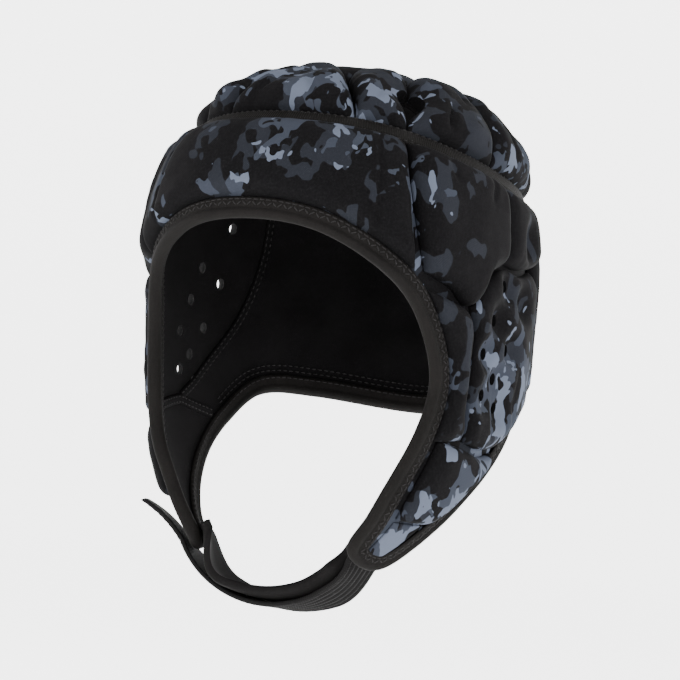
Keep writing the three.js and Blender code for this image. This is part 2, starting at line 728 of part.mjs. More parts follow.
function onCheek(up, sign) {
  const at = cheekTrack(up);
  const point = place(at, 0);
  const out = formNormal(at.turn, at.depth);
  const ahead = place(cheekTrack(up - 0.5), 0).sub(place(cheekTrack(up + 0.5), 0)).normalize();
  if (sign > 0) return { point, out, ahead, share: 0 };
  const across = vec(-1, 1, 1);
  return { point: point.multiply(across), out: out.multiply(across), ahead: ahead.multiply(across).negate(), share: 1 };
}
function strapStations(leftLength, rightLength) {
  const pieces = (length) => Math.max(2, Math.round(length / 6));
  const [n, m] = [pieces(leftLength), pieces(rightLength)];
  const list = Array.from({ length: n }, (_, k) => onCheek(leftLength * (1 - k / n) - PAST_END, 1));
  const [a, b] = [onCheek(-PAST_END, 1), onCheek(BEFORE_END, -1)];
  const swing = CHIN_FULLNESS;
  const blend = (weights) =>
    vec(0, 0, 0)
      .addScaledVector(a.point, weights[0])
      .addScaledVector(a.ahead, swing * weights[1])
      .addScaledVector(b.point, -weights[0] + weights[3])
      .addScaledVector(b.ahead, swing * weights[2]);
  const arc = 16;
  for (let k = 0; k <= arc; k++) {
    const t = k / arc;
    const point = blend([2 * t ** 3 - 3 * t ** 2 + 1, t ** 3 - 2 * t ** 2 + t, t ** 3 - t ** 2, 1]);
    const ahead = blend([6 * t ** 2 - 6 * t, 3 * t ** 2 - 4 * t + 1, 3 * t ** 2 - 2 * t, 0]).normalize();
    const bend = blend([12 * t - 6, 6 * t - 4, 6 * t - 2, 0]);
    bend.addScaledVector(ahead, -bend.dot(ahead)).normalize().negate();
    const middle = Math.sin(Math.PI * t) ** 0.7;
    const out = a.out.clone().multiplyScalar(1 - t).addScaledVector(b.out, t);
    out.addScaledVector(ahead, -out.dot(ahead)).normalize();
    out.multiplyScalar(1 - middle).addScaledVector(bend, middle).normalize();
    list.push({ point, out, ahead, share: t });
  }
  for (let k = 1; k <= m; k++) list.push(onCheek(BEFORE_END + (rightLength * k) / m, -1));
  return list;
}

function ribbon(list, outline, liftAt) {
  const rings = list.map((s, k) => {
    const front = s.ahead.clone().cross(s.out).normalize();
    const lift = liftAt(s.share, k);
    return outline.map((p) =>
      s.point.clone().addScaledVector(front, p.across).addScaledVector(s.out, p.lift + lift));
  });
  return tube(rings, outline);
}

const easy = (t) => t * t * (3 - 2 * t);
const strapInside = -(2 * GAP + BINDING + STRAP);
const strapOutside = LINING + 2 * GAP + Math.max(FLAP, BINDING);
const strapLift = (share) => mix(strapInside, strapOutside, easy(share));
function chinStrap() {
  const list = strapStations(STRAP_SEWN, STRAP_FASTENED - BEFORE_END + STRAP_TAB);
  const free = Math.max(2, Math.round((STRAP_TAB + STRAP_FASTENED - BEFORE_END) / 6));
  const rise = list.length - free;
  const side = STRAP_WIDTH / 2;
  const outline = [
    { across: -side, lift: 0 },
    { across: side, lift: 0 },
    { across: side, lift: STRAP },
    { across: -side, lift: STRAP },
  ];
  return ribbon(list, outline, (share, k) => {
    const past = Math.max(0, (k - rise) / (list.length - 1 - rise));
    return strapLift(share) + TAB_RISE * past ** 2.2;
  });
}
function chinTongue() {
  const list = strapStations(TONGUE_OVERLAP, TONGUE_OVERLAP);
  const [back, bend, front] = [-0.5 * TONGUE_WIDTH, 0.1 * TONGUE_WIDTH, 0.5 * TONGUE_WIDTH];
  const outline = [
    { across: back, lift: 0 },
    { across: bend, lift: 0 },
    { across: front, lift: -TONGUE_CURL },
    { across: front, lift: TONGUE - TONGUE_CURL },
    { across: bend, lift: TONGUE },
    { across: back, lift: TONGUE },
  ];
  const underCheek = -(3 * GAP + BINDING + TONGUE);
  const apart = (share) => easy(Math.max(0, (share - 0.6) / 0.4));
  return ribbon(list, outline, (share) => mix(strapLift(share) - GAP - TONGUE, underCheek, apart(share)));
}

// Solids for cutting
const wasm = await Module();
wasm.setup();

function toManifold(geometry) {
  const plain = new THREE.BufferGeometry().setAttribute("position", geometry.getAttribute("position"));
  const merged = mergeVertices(plain, 1e-4);
  return new wasm.Manifold(new wasm.Mesh({
    numProp: 3,
    vertProperties: new Float32Array(merged.attributes.position.array),
    triVerts: new Uint32Array(merged.index.array),
  }));
}
function fromManifold(solid) {
  const mesh = solid.getMesh();
  const n = mesh.numProp;
  const positions = [];
  for (const v of mesh.triVerts)
    positions.push(mesh.vertProperties[v * n], mesh.vertProperties[v * n + 1], mesh.vertProperties[v * n + 2]);
  return new THREE.BufferGeometry().setAttribute("position", new THREE.Float32BufferAttribute(positions, 3));
}
function cut(geometry, tools) {
  let solid = toManifold(geometry);
  for (const tool of tools) solid = solid.subtract(toManifold(tool));
  return fromManifold(solid);
}

// Prism with an outline around a place, standing along the way out.
function prismAt(at, outline, along = vec(0, 0, 1)) {
  const out = formNormal(at.turn, at.depth);
  const up = along.clone().addScaledVector(out, -along.dot(out)).normalize();
  const side = out.clone().cross(up);
  const depth = 2 * (LINING + GAP + Math.max(CROWN_FOAM, SIDE_FOAM));
  const level = (lift) =>
    outline.map((p) => place(at, lift).addScaledVector(side, p.across).addScaledVector(up, p.lift));
  return tube([level(-depth), level(depth)], outline);
}
const circle = (diameter, count = 8) =>
  Array.from({ length: count }, (_, k) => ({
    across: (diameter / 2) * Math.cos((2 * Math.PI * k) / count),
    lift: (diameter / 2) * Math.sin((2 * Math.PI * k) / count),
  }));
function leafOutline() {
  const steps = 6;
  const bow = (t) => (LEAF_WIDTH / 2) * (1 - t * t);
  const side = (sign) =>
    Array.from({ length: steps }, (_, k) => {
      const t = sign * (-1 + (2 * k) / steps);
      return { across: sign * bow(t), lift: (t * LEAF_LENGTH) / 2 };
    });
  return [...side(1), ...side(-1)];
}

const sideOf = (at, sign) => (sign > 0 ? at : mirrored(at));
const vent = (row, sign) => prismAt(sideOf(sized([row])[0], sign), circle(EAR_VENT));
function leaf(sign) {
  const row = CROWN_LINES[LEAF.line];
  const share = (LEAF.reach - TOP_REACH) / (reachAt(besideTape(row.turn, -TAPE_SIDE).depth) - TOP_REACH);
  const at = (t) => sideOf(crownPlace(row, t), sign);
  const along = place(at(share - 0.1), 0).sub(place(at(share + 0.1), 0));
  return prismAt(at(share), leafOutline(), along);
}

const cap = new THREE.Group();
cap.name = "rugby_scrum_cap";

function add(name, geometry, look) {
  const plain = new THREE.BufferGeometry().setAttribute("position", geometry.getAttribute("position"));
  plain.computeVertexNormals();
  const mesh = new THREE.Mesh(plain, new THREE.MeshStandardMaterial(look));
  mesh.name = name;
  cap.add(mesh);
}

add("crown_lining", cut(crownLining(), [leaf(1), leaf(-1)]), BLACK);
add("brow_lining", browLining(), BLACK);
add("back_lining", backLining(), BLACK);
add("crown_top_pad", topPad(), PRINTED);
const [frontLine, secondLine, thirdLine, fourthLine, lastLine] = CROWN_LINES;
add("crown_front_pad", pad(crownSides(flippedLine(frontLine), frontLine), CROWN_FOAM), PRINTED);
add("crown_back_pad", pad(crownSides(lastLine, backLine(lastLine)), CROWN_FOAM), PRINTED);
add("brow_pad", pad(browPadSides(), BROW_FOAM), PRINTED);
const napeTurn = 160;
const napeRow = rowAt(RIM.slice(NAPE_ROW).map((r) => r.turn), napeTurn) + NAPE_ROW;
const overNape = (t) => {
  const row = mix(napeRow, 2 * LAST_ROW - napeRow, t);
  return row <= LAST_ROW
    ? besideRim(row, rimClear)
    : { turn: 360 - besideRim(2 * LAST_ROW - row, rimClear).turn, depth: besideRim(2 * LAST_ROW - row, rimClear).depth };
};
add("nape_pad", pad({
  top: tiedTop(napeTurn, 360 - napeTurn),
  foot: overNape,
  near: downFrom(napeTurn, overNape(0)),
  far: downFrom(360 - napeTurn, overNape(1)),
}, BACK_FOAM), PRINTED);

for (const [side, sign] of [["left", 1], ["right", -1]]) {
  const on = (sides) => (sign > 0 ? sides : flipped(sides));
  const name = (piece) => side + "_" + piece;
  const { sides, across, down } = sidePanel();
  add(name("side_lining"), cut(lining(on(sides), across, down),
    [...EAR_VENTS, SIDE_VENT].map((row) => vent(row, sign))), BLACK);
  const cheek = cheekPanel();
  add(name("cheek_lining"), lining(on(cheek.sides), cheek.across, cheek.down), BLACK);
  add(name("crown_front_side_pad"), cut(pad(on(crownSides(frontLine, secondLine)), CROWN_FOAM), [leaf(sign)]), PRINTED);
  add(name("crown_side_pad"), cut(pad(on(crownSides(secondLine, thirdLine)), CROWN_FOAM), [leaf(sign)]), PRINTED);
  add(name("crown_rear_side_pad"), pad(on(crownSides(thirdLine, fourthLine)), CROWN_FOAM), PRINTED);
  add(name("crown_back_side_pad"), pad(on(crownSides(fourthLine, lastLine)), CROWN_FOAM), PRINTED);
  add(name("temple_pad"), pad(on(templeSides()), TEMPLE_FOAM), PRINTED);
  add(name("rear_side_pad"), cut(pad(on(rearSideSides()), SIDE_FOAM), [vent(SIDE_VENT, sign)]), PRINTED);
  add(name("ear_strip_pad"), pad(on(earStripSides()), STRIP_FOAM), PRINTED);
  add(name("ear_pad"), cut(pad(on(earSides()), EAR_FOAM), EAR_VENTS.map((row) => vent(row, sign))), PRINTED);
  add(name("back_pad"), pad(on(backPadSides(123, napeTurn, NAPE_ROW + 0.85, napeRow)), BACK_FOAM), PRINTED);
  add(name("cheek_pad"), pad(on(cheekSides()), CHEEK_FOAM), PRINTED);
  add(name("cheek_flap"), flap(on), PRINTED);
}

add("crown_tape", crownTape(), TRIM);
add("rim_binding", rimBinding(), TRIM);
add("chin_tongue", chinTongue(), BLACK);
add("chin_strap", chinStrap(), TRIM);

export default cap;
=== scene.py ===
"""Padded rugby scrum cap with a chin strap: the sewn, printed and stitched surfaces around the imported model.

A place on the cap is a pair (turn, depth): degrees about the vertical axis (0 = brow, 90 = the wearer's
left ear, 180 = nape) and metres below the crown. A lift is a height outwards from the inside surface.
"""

import bmesh
import bpy
import numpy as np
from mathutils import Matrix, Vector


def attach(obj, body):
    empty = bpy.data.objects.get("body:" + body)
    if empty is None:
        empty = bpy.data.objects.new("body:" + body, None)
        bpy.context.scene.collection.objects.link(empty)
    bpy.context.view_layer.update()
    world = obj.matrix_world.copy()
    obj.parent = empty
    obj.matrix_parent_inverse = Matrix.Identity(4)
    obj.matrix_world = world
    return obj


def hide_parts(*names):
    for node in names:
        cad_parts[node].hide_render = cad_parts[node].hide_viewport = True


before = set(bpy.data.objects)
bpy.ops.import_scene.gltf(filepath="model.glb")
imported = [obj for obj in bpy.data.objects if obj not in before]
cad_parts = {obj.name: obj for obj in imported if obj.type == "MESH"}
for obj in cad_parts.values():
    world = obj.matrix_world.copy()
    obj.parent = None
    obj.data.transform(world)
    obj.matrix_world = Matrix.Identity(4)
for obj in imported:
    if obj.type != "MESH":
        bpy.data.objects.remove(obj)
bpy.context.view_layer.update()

bl_info = {
    "name": "Rugby scrum cap",
    "version": (1, 0, 0),
    "blender": (4, 5, 0),
    "location": "View3D > Sidebar > Scrum cap",
    "description": "Builds the padded cap, its lining, trim and chin strap, and a plain studio",
    "category": "Add Mesh",
}

# ---- tables: turns in degrees, depths as shares of the head's depth

FORM = np.array([  # depth, wide, front, back (shares of depth, half width, half length, half length)
    (0.404, 1.0, 1.005, 0.985), (0.553, 1.0, 0.98, 0.95), (0.681, 0.95, 0.89, 0.87),
    (0.766, 0.87, 0.79, 0.796), (0.83, 0.773, 0.738, 0.712), (0.894, 0.643, 0.67, 0.628),
    (1.0, 0.442, 0.503, 0.461)])
RIM = np.array([  # the edge, from the brow down to the cheek's tip and back up to the nape
    (0, 0.274), (18, 0.289), (34.5, 0.343), (46, 0.406), (54, 0.494), (56.5, 0.566), (54, 0.643),
    (49, 0.723), (43.5, 0.809), (38.5, 0.872), (48, 0.898), (60, 0.882), (76.5, 0.815), (93.5, 0.73),
    (109.5, 0.653), (126, 0.587), (147, 0.58), (180, 0.594)])
BROW_ROW, CHEEK_ROW, TIP_ROW, TIP_BACK_ROW, NAPE_ROW, LAST_ROW = 3, 6, 9, 11, 14, 17
TAPE_LINE = np.array([(0, 0.0925), (30, 0.102), (60, 0.13), (90, 0.154), (120, 0.175), (150, 0.192),
                      (180, 0.198)])
# seams and pad edges, from the top down or from the front back
BROW_SEAM = np.array([(41, 0.12), (42.5, 0.24), (46, 0.406)])
EAR_SEAM = np.array([(122, 0.176), (121.5, 0.32), (112, 0.455), (92, 0.57), (77, 0.622)])
CHEEK_SEAM = np.array([(54, 0.643), (77, 0.622), (109.5, 0.653)])
TEMPLE_POINT = np.array([(47.5, 0.352), (57, 0.373), (65.5, 0.403), (72, 0.344), (85.5, 0.311)])
REAR_SIDE_FOOT = np.array([(85.5, 0.311), (100, 0.317), (122, 0.3)])
STRIP_BACK = np.array([(65.5, 0.41), (68.5, 0.45), (67.5, 0.51), (68, 0.58), (72, 0.652)])
EAR_TOP = np.array([(67.5, 0.402), (74, 0.347), (86, 0.319), (101, 0.325), (122, 0.306)])
EAR_FRONT = np.array([(67.5, 0.402), (70.5, 0.45), (69.5, 0.51), (70, 0.58), (73, 0.655)])
EAR_FOOT = np.array([(73, 0.655), (86, 0.666), (100, 0.643), (119, 0.565)])
EAR_BACK = np.array([(122, 0.306), (122, 0.45), (119, 0.565)])
CHEEK_TOP = np.array([(60.5, 0.654), (73, 0.664), (86, 0.678), (97.5, 0.668)])
CHEEK_CREASE = np.array([(52, 0.806), (67, 0.809)])
CROWN_LINES = np.array([(24.5, -12), (42, 17), (83, 28), (124, 16), (155, 6)])  # turn, lean
TOP_REACH, TOP_GATHERS = 0.31, 24
LEAF_LINE, LEAF_REACH = 1, 0.63  # crown line with the slits, and how far from the crown their middle is
EAR_VENTS = np.array([(88, 0.352), (101, 0.378), (82, 0.42), (93, 0.473), (76.5, 0.486), (85, 0.53),
                      (78.5, 0.562), (89, 0.583)])
SIDE_VENT = np.array([(104, 0.262)])
NAPE_TURN = 160
BROW_DART = 32
SLIT_PADS = ("crown_front_side_pad", "crown_side_pad")
VENT_LEAN = {1: 0.1, -1: 0.85}  # how far the vents lean back on the left (1) and on the right (-1)
CREASES = {  # share of the width, from and to as shares of the height, depth and half width in millimetres
    "crown_side_pad": ((0.37, 0.7, 0.97, 3.2, 1.3), (0.62, 0.35, 0.62, 1.3, 1.8), (0.2, 0.3, 0.55, 1.0, 1.6)),
    "crown_front_side_pad": ((0.45, 0.62, 0.95, 1.8, 1.6), (0.7, 0.3, 0.6, 1.2, 1.8)),
    "crown_front_pad": ((0.24, 0.6, 0.95, 1.5, 1.7), (0.66, 0.66, 0.97, 1.8, 1.5)),
    "crown_rear_side_pad": ((0.42, 0.66, 0.95, 1.6, 1.8), (0.7, 0.5, 0.8, 1.1, 2.0)),
    "crown_back_side_pad": ((0.55, 0.62, 0.95, 1.6, 1.7),),
    "temple_pad": ((0.3, 0.02, 0.22, 1.3, 1.5), (0.72, 0.04, 0.3, 1.2, 1.8)),
    "ear_pad": ((0.36, 0.62, 0.95, 1.2, 1.8), (0.66, 0.55, 0.9, 1.2, 1.8)),
    "brow_pad": ((0.12, 0.05, 0.3, 0.8, 2.0), (0.83, 0.6, 0.96, 0.8, 1.8)),
}
MM = 0.001
LINING, GAP, SEAM, GROOVE, TAPE_WIDTH, BINDING, BINDING_REACH, EDGE_CLEAR = (
    np.array([2.2, 0.8, 0.3, 2.4, 8.0, 1.2, 6.8, 1.0]) * MM)
PAD_BASE = LINING + 0.2 * MM
# height of a pad's sewn edge, dips round the vents, reach of the gathers, depth and half width of the dart
EDGE_HEIGHT, VENT_SINK, VENT_HEIGHT, VENT_FADE, GATHER_FADE, DART_DEPTH, DART_HALF = (
    np.array([0.9, 1.2, 1.6, 6.0, 6.0, 0.9, 0.9]) * MM)
VENT_DRILL, LEAF_DRILL = 20 * MM, 30 * MM  # half lengths of the cutters
TAPE_SIDE = TAPE_WIDTH / 2 + SEAM
RIM_CLEAR = BINDING_REACH + EDGE_CLEAR - GROOVE / 2
TAPE_FOOT = TAPE_SIDE - GROOVE / 2


# ---- the head form

def through(values, at):
    """Smooth curve through table values at row positions: the cubic whose slope at each row is half the
    difference of its two neighbours."""
    values, at = np.asarray(values, float), np.asarray(at, float)
    last = len(values) - 1
    i = np.clip(np.floor(at).astype(int), 0, last - 1)
    t = at - i
    b, c = values[i], values[i + 1]
    a = np.where(i > 0, values[np.maximum(i - 1, 0)], 2 * b - c)
    d = np.where(i + 1 < last, values[np.minimum(i + 2, last)], 2 * c - b)
    return 0.5 * (2 * b + (c - a) * t + (2 * a - 5 * b + 4 * c - d) * t**2 + (3 * b - a - 3 * c + d) * t**3)


def distances(line):
    """Distance of each point of a line from its start, along the line."""
    return np.concatenate([[0], np.cumsum(np.linalg.norm(np.diff(line, axis=0), axis=-1))])


def lengths(grid, axis):
    """Length of each line of a grid of points that runs along an axis."""
    return np.linalg.norm(np.diff(grid, axis=axis), axis=-1).sum(axis)


def circle(count):
    """Equal angles round a circle."""
    return np.linspace(0, 2 * np.pi, count + 1)[:-1]


def bell(x):
    """1 at 0, falling away on both sides: exp(-x ** 2)."""
    return np.exp(-(x**2))


def unit(v):
    """Vectors divided by their lengths."""
    return v / np.maximum(np.linalg.norm(v, axis=-1, keepdims=True), 1e-12)


class HeadForm:
    """Inside of the cap: at each depth a squared oval. Above its widest level the oval's reach is
    (1 - (1 - depth / dome) ** roundness) ** (1 / roundness), below it the shares of the FORM table."""

    LONG_ROUNDNESS, WIDE_ROUNDNESS = 2.6, 2.85
    FRONT_SQUARENESS, BACK_SQUARENESS = 2.4, 2.1

    def __init__(self, sizes):
        self.width, self.length, self.depth = sizes.head_width, sizes.head_length, sizes.head_depth
        self.depths = FORM[:, 0] * self.depth
        self.dome = self.depths[0]
        self.dense = np.linspace(0, len(FORM) - 1, 1500)
        self.dense_depths = through(self.depths, self.dense)

    def reach(self, depth, roundness=LONG_ROUNDNESS):
        """Share of the widest oval at a depth in the dome."""
        share = 1 - np.clip(depth, 0, self.dome) / self.dome
        return (1 - share**roundness) ** (1 / roundness)

    def depth_at(self, reach):
        """Depth at which the dome has a reach, the other way round."""
        return self.dome * (1 - (1 - reach**self.LONG_ROUNDNESS) ** (1 / self.LONG_ROUNDNESS))

    def point(self, at):
        """Point of the inside surface: r = ((|sin| / wide) ** p + (|cos| / along) ** p) ** (-1 / p)."""
        turn, depth = at
        row = np.where(depth > self.dome, np.interp(depth, self.dense_depths, self.dense), 0)
        wide = through(FORM[:, 1], row) * self.width / 2 * self.reach(depth, self.WIDE_ROUNDNESS)
        reach = self.reach(depth) * self.length / 2
        front, back = through(FORM[:, 2], row) * reach, through(FORM[:, 3], row) * reach
        sin, cos = np.sin(np.radians(turn)), np.cos(np.radians(turn))
        power = np.where(cos > 0, self.FRONT_SQUARENESS, self.BACK_SQUARENESS)
        along = np.where(cos > 0, front, back)
        r = ((np.abs(sin) / np.maximum(wide, 1e-9)) ** power
             + (np.abs(cos) / np.maximum(along, 1e-9)) ** power) ** (-1 / power)
        return np.stack([r * sin, -r * cos, -depth + 0 * r], -1)

    def slopes(self, at):
        """Rates of the point with the turn, in metres a degree, and with the depth."""
        turn_step, depth_step = np.array([0.05, 0.0]), np.array([0.0, 5e-6])
        shape = (2,) + (1,) * (np.ndim(at) - 1)
        ts, ds = turn_step.reshape(shape), depth_step.reshape(shape)
        return ((self.point(at + ts) - self.point(at - ts)) / 0.1,
                (self.point(at + ds) - self.point(at - ds)) / 1e-5)

    def normal(self, at):
        """Way out: slope down crossed with slope round; straight up at the crown's middle."""
        at = np.stack([at[0], np.maximum(at[1], 2e-5)])
        around, down = self.slopes(at)
        return unit(np.cross(down, around))

    def place(self, at, lift=0.0):
        """Point at a lift above the inside surface."""
        return self.point(at) + self.normal(at) * np.asarray(lift)[..., None]

    def moved(self, at, vector):
        """Place moved along the surface by a vector that lies in it: the vector solved for the slopes."""
        around, down = self.slopes(at)
        rr, dd, rd = (around**2).sum(-1), (down**2).sum(-1), (around * down).sum(-1)
        vr, vd = (vector * around).sum(-1), (vector * down).sum(-1)
        det = rr * dd - rd * rd
        return at + np.stack([(vr * dd - vd * rd) / det, (vd * rr - vr * rd) / det])

    # lines on the form, each a function of t from 0 to 1

    def line(self, rows):
        """Curve through the rows of a table."""
        last = len(rows) - 1
        return lambda t: np.stack([through(rows[:, 0], t * last),
                                   through(rows[:, 1] * self.depth, t * last)])

    def rim(self, row):
        """Edge of the cap at a row position: 0 at the brow, LAST_ROW at the nape, negative on the right."""
        rows = np.vstack([RIM[1] * (-1, 1), RIM, (360 - RIM[-2][0], RIM[-2][1])])
        at = np.abs(row) + 1
        sign = np.where(row < 0, -1, 1)
        return np.stack([through(rows[:, 0], at) * sign, through(rows[:, 1], at) * self.depth])

    def rim_inward(self, row):
        """Way from the edge into the cloth, lying in the surface."""
        ahead = self.place(self.rim(row + 0.02)) - self.place(self.rim(row - 0.02))
        return unit(np.cross(self.normal(self.rim(row)), ahead))

    def beside_rim(self, row, distance):
        """Place at a distance inside the edge."""
        vector = self.rim_inward(row) * np.asarray(distance)[..., None]
        return self.moved(self.rim(row), vector)

    def tape_middle(self, turn):
        """Middle of the crown tape."""
        around = np.abs((turn + 540) % 360 - 180)
        depths = np.concatenate([TAPE_LINE[1:2, 1], TAPE_LINE[:, 1], TAPE_LINE[-2:-1, 1]]) * self.depth
        return np.stack([turn, through(depths, around / 30 + 1)])

    def beside_tape(self, turn, distance):
        """Place beside the tape's middle, positive down the sides."""
        at = self.tape_middle(turn)
        down = np.linalg.norm(self.slopes(at)[1], axis=-1)
        return np.stack([at[0], at[1] + distance / down])

    def along_tape(self, a, b, distance):
        """Run beside the tape from turn a to turn b."""
        return lambda t: self.beside_tape(a + (b - a) * t, distance)

    def along_rim(self, a, b, distance=0.0):
        """Run beside the edge from row a to row b."""
        return lambda t: self.beside_rim(a + (b - a) * t, distance + 0 * t)

    def down_from(self, turn, end, bow=0.0):
        """Run from the tape at a turn to an end, bowed round by a few degrees in its middle."""
        start = self.beside_tape(turn, TAPE_FOOT)

        def run(t):
            at = between(start, end)(t)
            return at + np.stack([4 * bow * t * (1 - t), 0 * t])
        return run

    def crown_place(self, row, share):
        """Place on a line between crown pads, from the top pad (0) to the tape (1)."""
        turn, lean = row
        edge = self.reach(self.beside_tape(turn, -TAPE_SIDE)[1])
        reach = TOP_REACH + (edge - TOP_REACH) * share
        return np.stack([turn + lean * (1 - np.minimum(share, 1.0)) ** 1.4, self.depth_at(reach)])


def between(a, b):
    """Straight run between two places."""
    return lambda t: np.multiply.outer(a, 1 - t) + np.multiply.outer(b, t)


def mirrored(at):
    """The same place on the other side."""
    return np.stack([-at[0], at[1]])


def opposite(at):
    """The same place on the other side, counted on past the nape."""
    return np.stack([360 - at[0], at[1]])


def lowered(curve, depth):
    """Curve moved down by a depth."""
    return lambda t: curve(t) + np.stack([0 * t, depth + 0 * t])


def handed(sign):
    """Factors that keep a point on the left (1) or put it on the right (-1)."""
    return np.array([sign, 1.0, 1.0])


def flipped(sides):
    """The same four curves on the other side."""
    top, foot, near, far = sides
    return (lambda t: mirrored(top(1 - t)), lambda t: mirrored(foot(1 - t)),
            lambda t: mirrored(far(t)), lambda t: mirrored(near(t)))


def on_side(sides, sign):
    """The four curves on the left (1) or on the right (-1)."""
    return sides if sign > 0 else flipped(sides)


def patch(sides, u, v):
    """Place inside four curves: the blend across plus the blend down, less the blend of the corners."""
    top, foot, near, far = sides
    a, b, c, d = (place.reshape(2, *[1] * np.ndim(u)) for place in (top(0.0), top(1.0), foot(0.0), foot(1.0)))
    corners = (1 - u) * (1 - v) * a + u * (1 - v) * b + (1 - u) * v * c + u * v * d
    return (1 - v) * top(u) + v * foot(u) + (1 - u) * near(v) + u * far(v) - corners


def stretched(curve, start, end):
    """Curve that keeps its bend and is stretched to meet two ends."""
    first, last = start - curve(0.0), end - curve(1.0)
    return lambda t: curve(t) + np.multiply.outer(first, 1 - t) + np.multiply.outer(last, t)


# ---- the patches of the pads

def pad_patches(form):
    """Four curves for each pad of the middle and of the left, by the pad's name."""
    seam, temple_top = BROW_SEAM[0, 0], TEMPLE_POINT[-1, 0]
    nape_row = np.interp(NAPE_TURN, RIM[NAPE_ROW:, 0], np.arange(NAPE_ROW, LAST_ROW + 1))

    def crown(a, b):
        inset = GROOVE / 2
        tops = form.crown_place(a, 0.0)[0], form.crown_place(b, 0.0)[0]
        edge = form.along_tape(a[0], b[0], inset - TAPE_SIDE)
        return (lambda t: np.stack([tops[0] + (tops[1] - tops[0]) * t,
                                    form.depth_at(TOP_REACH) + 0 * t]),
                edge,
                stretched(lambda t: form.crown_place(a, t), form.crown_place(a, 0.0), edge(0.0)),
                stretched(lambda t: form.crown_place(b, t), form.crown_place(b, 0.0), edge(1.0)))

    brow_row = BROW_ROW - 0.42
    brow_end = form.beside_rim(brow_row, RIM_CLEAR)
    brow_far = form.down_from(seam, brow_end, -0.8)
    point, rear_foot = form.line(TEMPLE_POINT), form.line(REAR_SIDE_FOOT)
    strip_near = form.along_rim(BROW_ROW - 0.1, CHEEK_ROW + 0.1, RIM_CLEAR)
    strip_far = form.line(STRIP_BACK)
    cheek_top, cheek_foot = form.line(CHEEK_TOP), form.line(CHEEK_CREASE)
    cheek_front = form.along_rim(CHEEK_ROW + 0.2, TIP_ROW - 1.1, RIM_CLEAR)
    cheek_back = form.along_rim(NAPE_ROW - 0.2, TIP_BACK_ROW + 0.6, RIM_CLEAR)
    back_foot = form.along_rim(NAPE_ROW + 0.85, nape_row, RIM_CLEAR)

    def over_nape(t):
        row = nape_row + 2 * (LAST_ROW - nape_row) * t
        at = form.beside_rim(np.where(row <= LAST_ROW, row, 2 * LAST_ROW - row), RIM_CLEAR + 0 * row)
        return np.where(row <= LAST_ROW, at, opposite(at))

    lines = [tuple(row) for row in CROWN_LINES]
    first, last = lines[0], lines[-1]
    middle = {
        "crown_front_pad": crown((-first[0], -first[1]), first),
        "crown_back_pad": crown(last, (360 - last[0], -last[1])),
        "brow_pad": (form.along_tape(-seam, seam, TAPE_FOOT),
                     form.along_rim(-brow_row, brow_row, RIM_CLEAR),
                     lambda t: mirrored(brow_far(t)), brow_far),
        "nape_pad": (form.along_tape(NAPE_TURN, 360 - NAPE_TURN, TAPE_FOOT), over_nape,
                     form.down_from(NAPE_TURN, over_nape(0.0)),
                     form.down_from(360 - NAPE_TURN, over_nape(1.0))),
    }
    segments = ("crown_front_side_pad", "crown_side_pad", "crown_rear_side_pad", "crown_back_side_pad")
    left = {name: crown(a, b) for name, a, b in zip(segments, lines, lines[1:])} | {
        "temple_pad": (form.along_tape(seam, temple_top, TAPE_FOOT), point,
                       form.down_from(seam, point(0.0), -1.2), form.down_from(temple_top, point(1.0))),
        "rear_side_pad": (form.along_tape(REAR_SIDE_FOOT[0, 0], REAR_SIDE_FOOT[-1, 0], TAPE_FOOT), rear_foot,
                          form.down_from(REAR_SIDE_FOOT[0, 0], rear_foot(0.0)),
                          form.down_from(REAR_SIDE_FOOT[-1, 0], rear_foot(1.0))),
        "ear_strip_pad": (between(strip_near(0.0), strip_far(0.0)), between(strip_near(1.0), strip_far(1.0)),
                          strip_near, strip_far),
        "ear_pad": tuple(form.line(rows) for rows in (EAR_TOP, EAR_FOOT, EAR_FRONT, EAR_BACK)),
        "back_pad": (form.along_tape(123, NAPE_TURN, TAPE_FOOT), back_foot,
                     form.down_from(123, back_foot(0.0)), form.down_from(NAPE_TURN, back_foot(1.0))),
        "cheek_pad": (cheek_top, cheek_foot, stretched(cheek_front, cheek_top(0.0), cheek_foot(0.0)),
                      stretched(cheek_back, cheek_top(1.0), cheek_foot(1.0))),
    }
    return middle, left


# ---- meshes

def mesh_object(name, points, quads, materials, indices=None):
    """Object at the origin from arrays of points and four-sided faces."""
    mesh = bpy.data.meshes.new(name)
    mesh.vertices.add(len(points))
    mesh.vertices.foreach_set("co", np.ascontiguousarray(points, np.float32).ravel())
    mesh.loops.add(quads.size)
    mesh.loops.foreach_set("vertex_index", quads.astype(np.int32).ravel())
    mesh.polygons.add(len(quads))
    mesh.polygons.foreach_set("loop_start", np.arange(0, quads.size, 4, dtype=np.int32))
    mesh.polygons.foreach_set("use_smooth", np.ones(len(quads), bool))
    for material in materials:
        mesh.materials.append(material)
    if indices is not None:
        mesh.polygons.foreach_set("material_index", indices.astype(np.int32))
    mesh.update(calc_edges=True)
    mesh.validate()
    piece = bpy.data.objects.new(name, mesh)
    bpy.context.scene.collection.objects.link(piece)
    return piece


def edited(piece, *edits):
    """Piece after edits of its mesh."""
    shell = bmesh.new()
    shell.from_mesh(piece.data)
    for edit in edits:
        edit(shell)
    shell.to_mesh(piece.data)
    shell.free()
    return piece


def joined(distance):
    """Edit that joins points closer than a distance."""
    return lambda shell: bmesh.ops.remove_doubles(shell, verts=shell.verts, dist=distance)


def outward(shell):
    """Edit that turns the faces of a closed mesh outwards."""
    bmesh.ops.recalc_face_normals(shell, faces=shell.faces)


def merged(piece, distance=2e-6):
    """Doubles joined, so that poles and collapsed ends are closed."""
    return edited(piece, joined(distance),
                  lambda shell: bmesh.ops.dissolve_degenerate(shell, edges=shell.edges, dist=distance / 2))


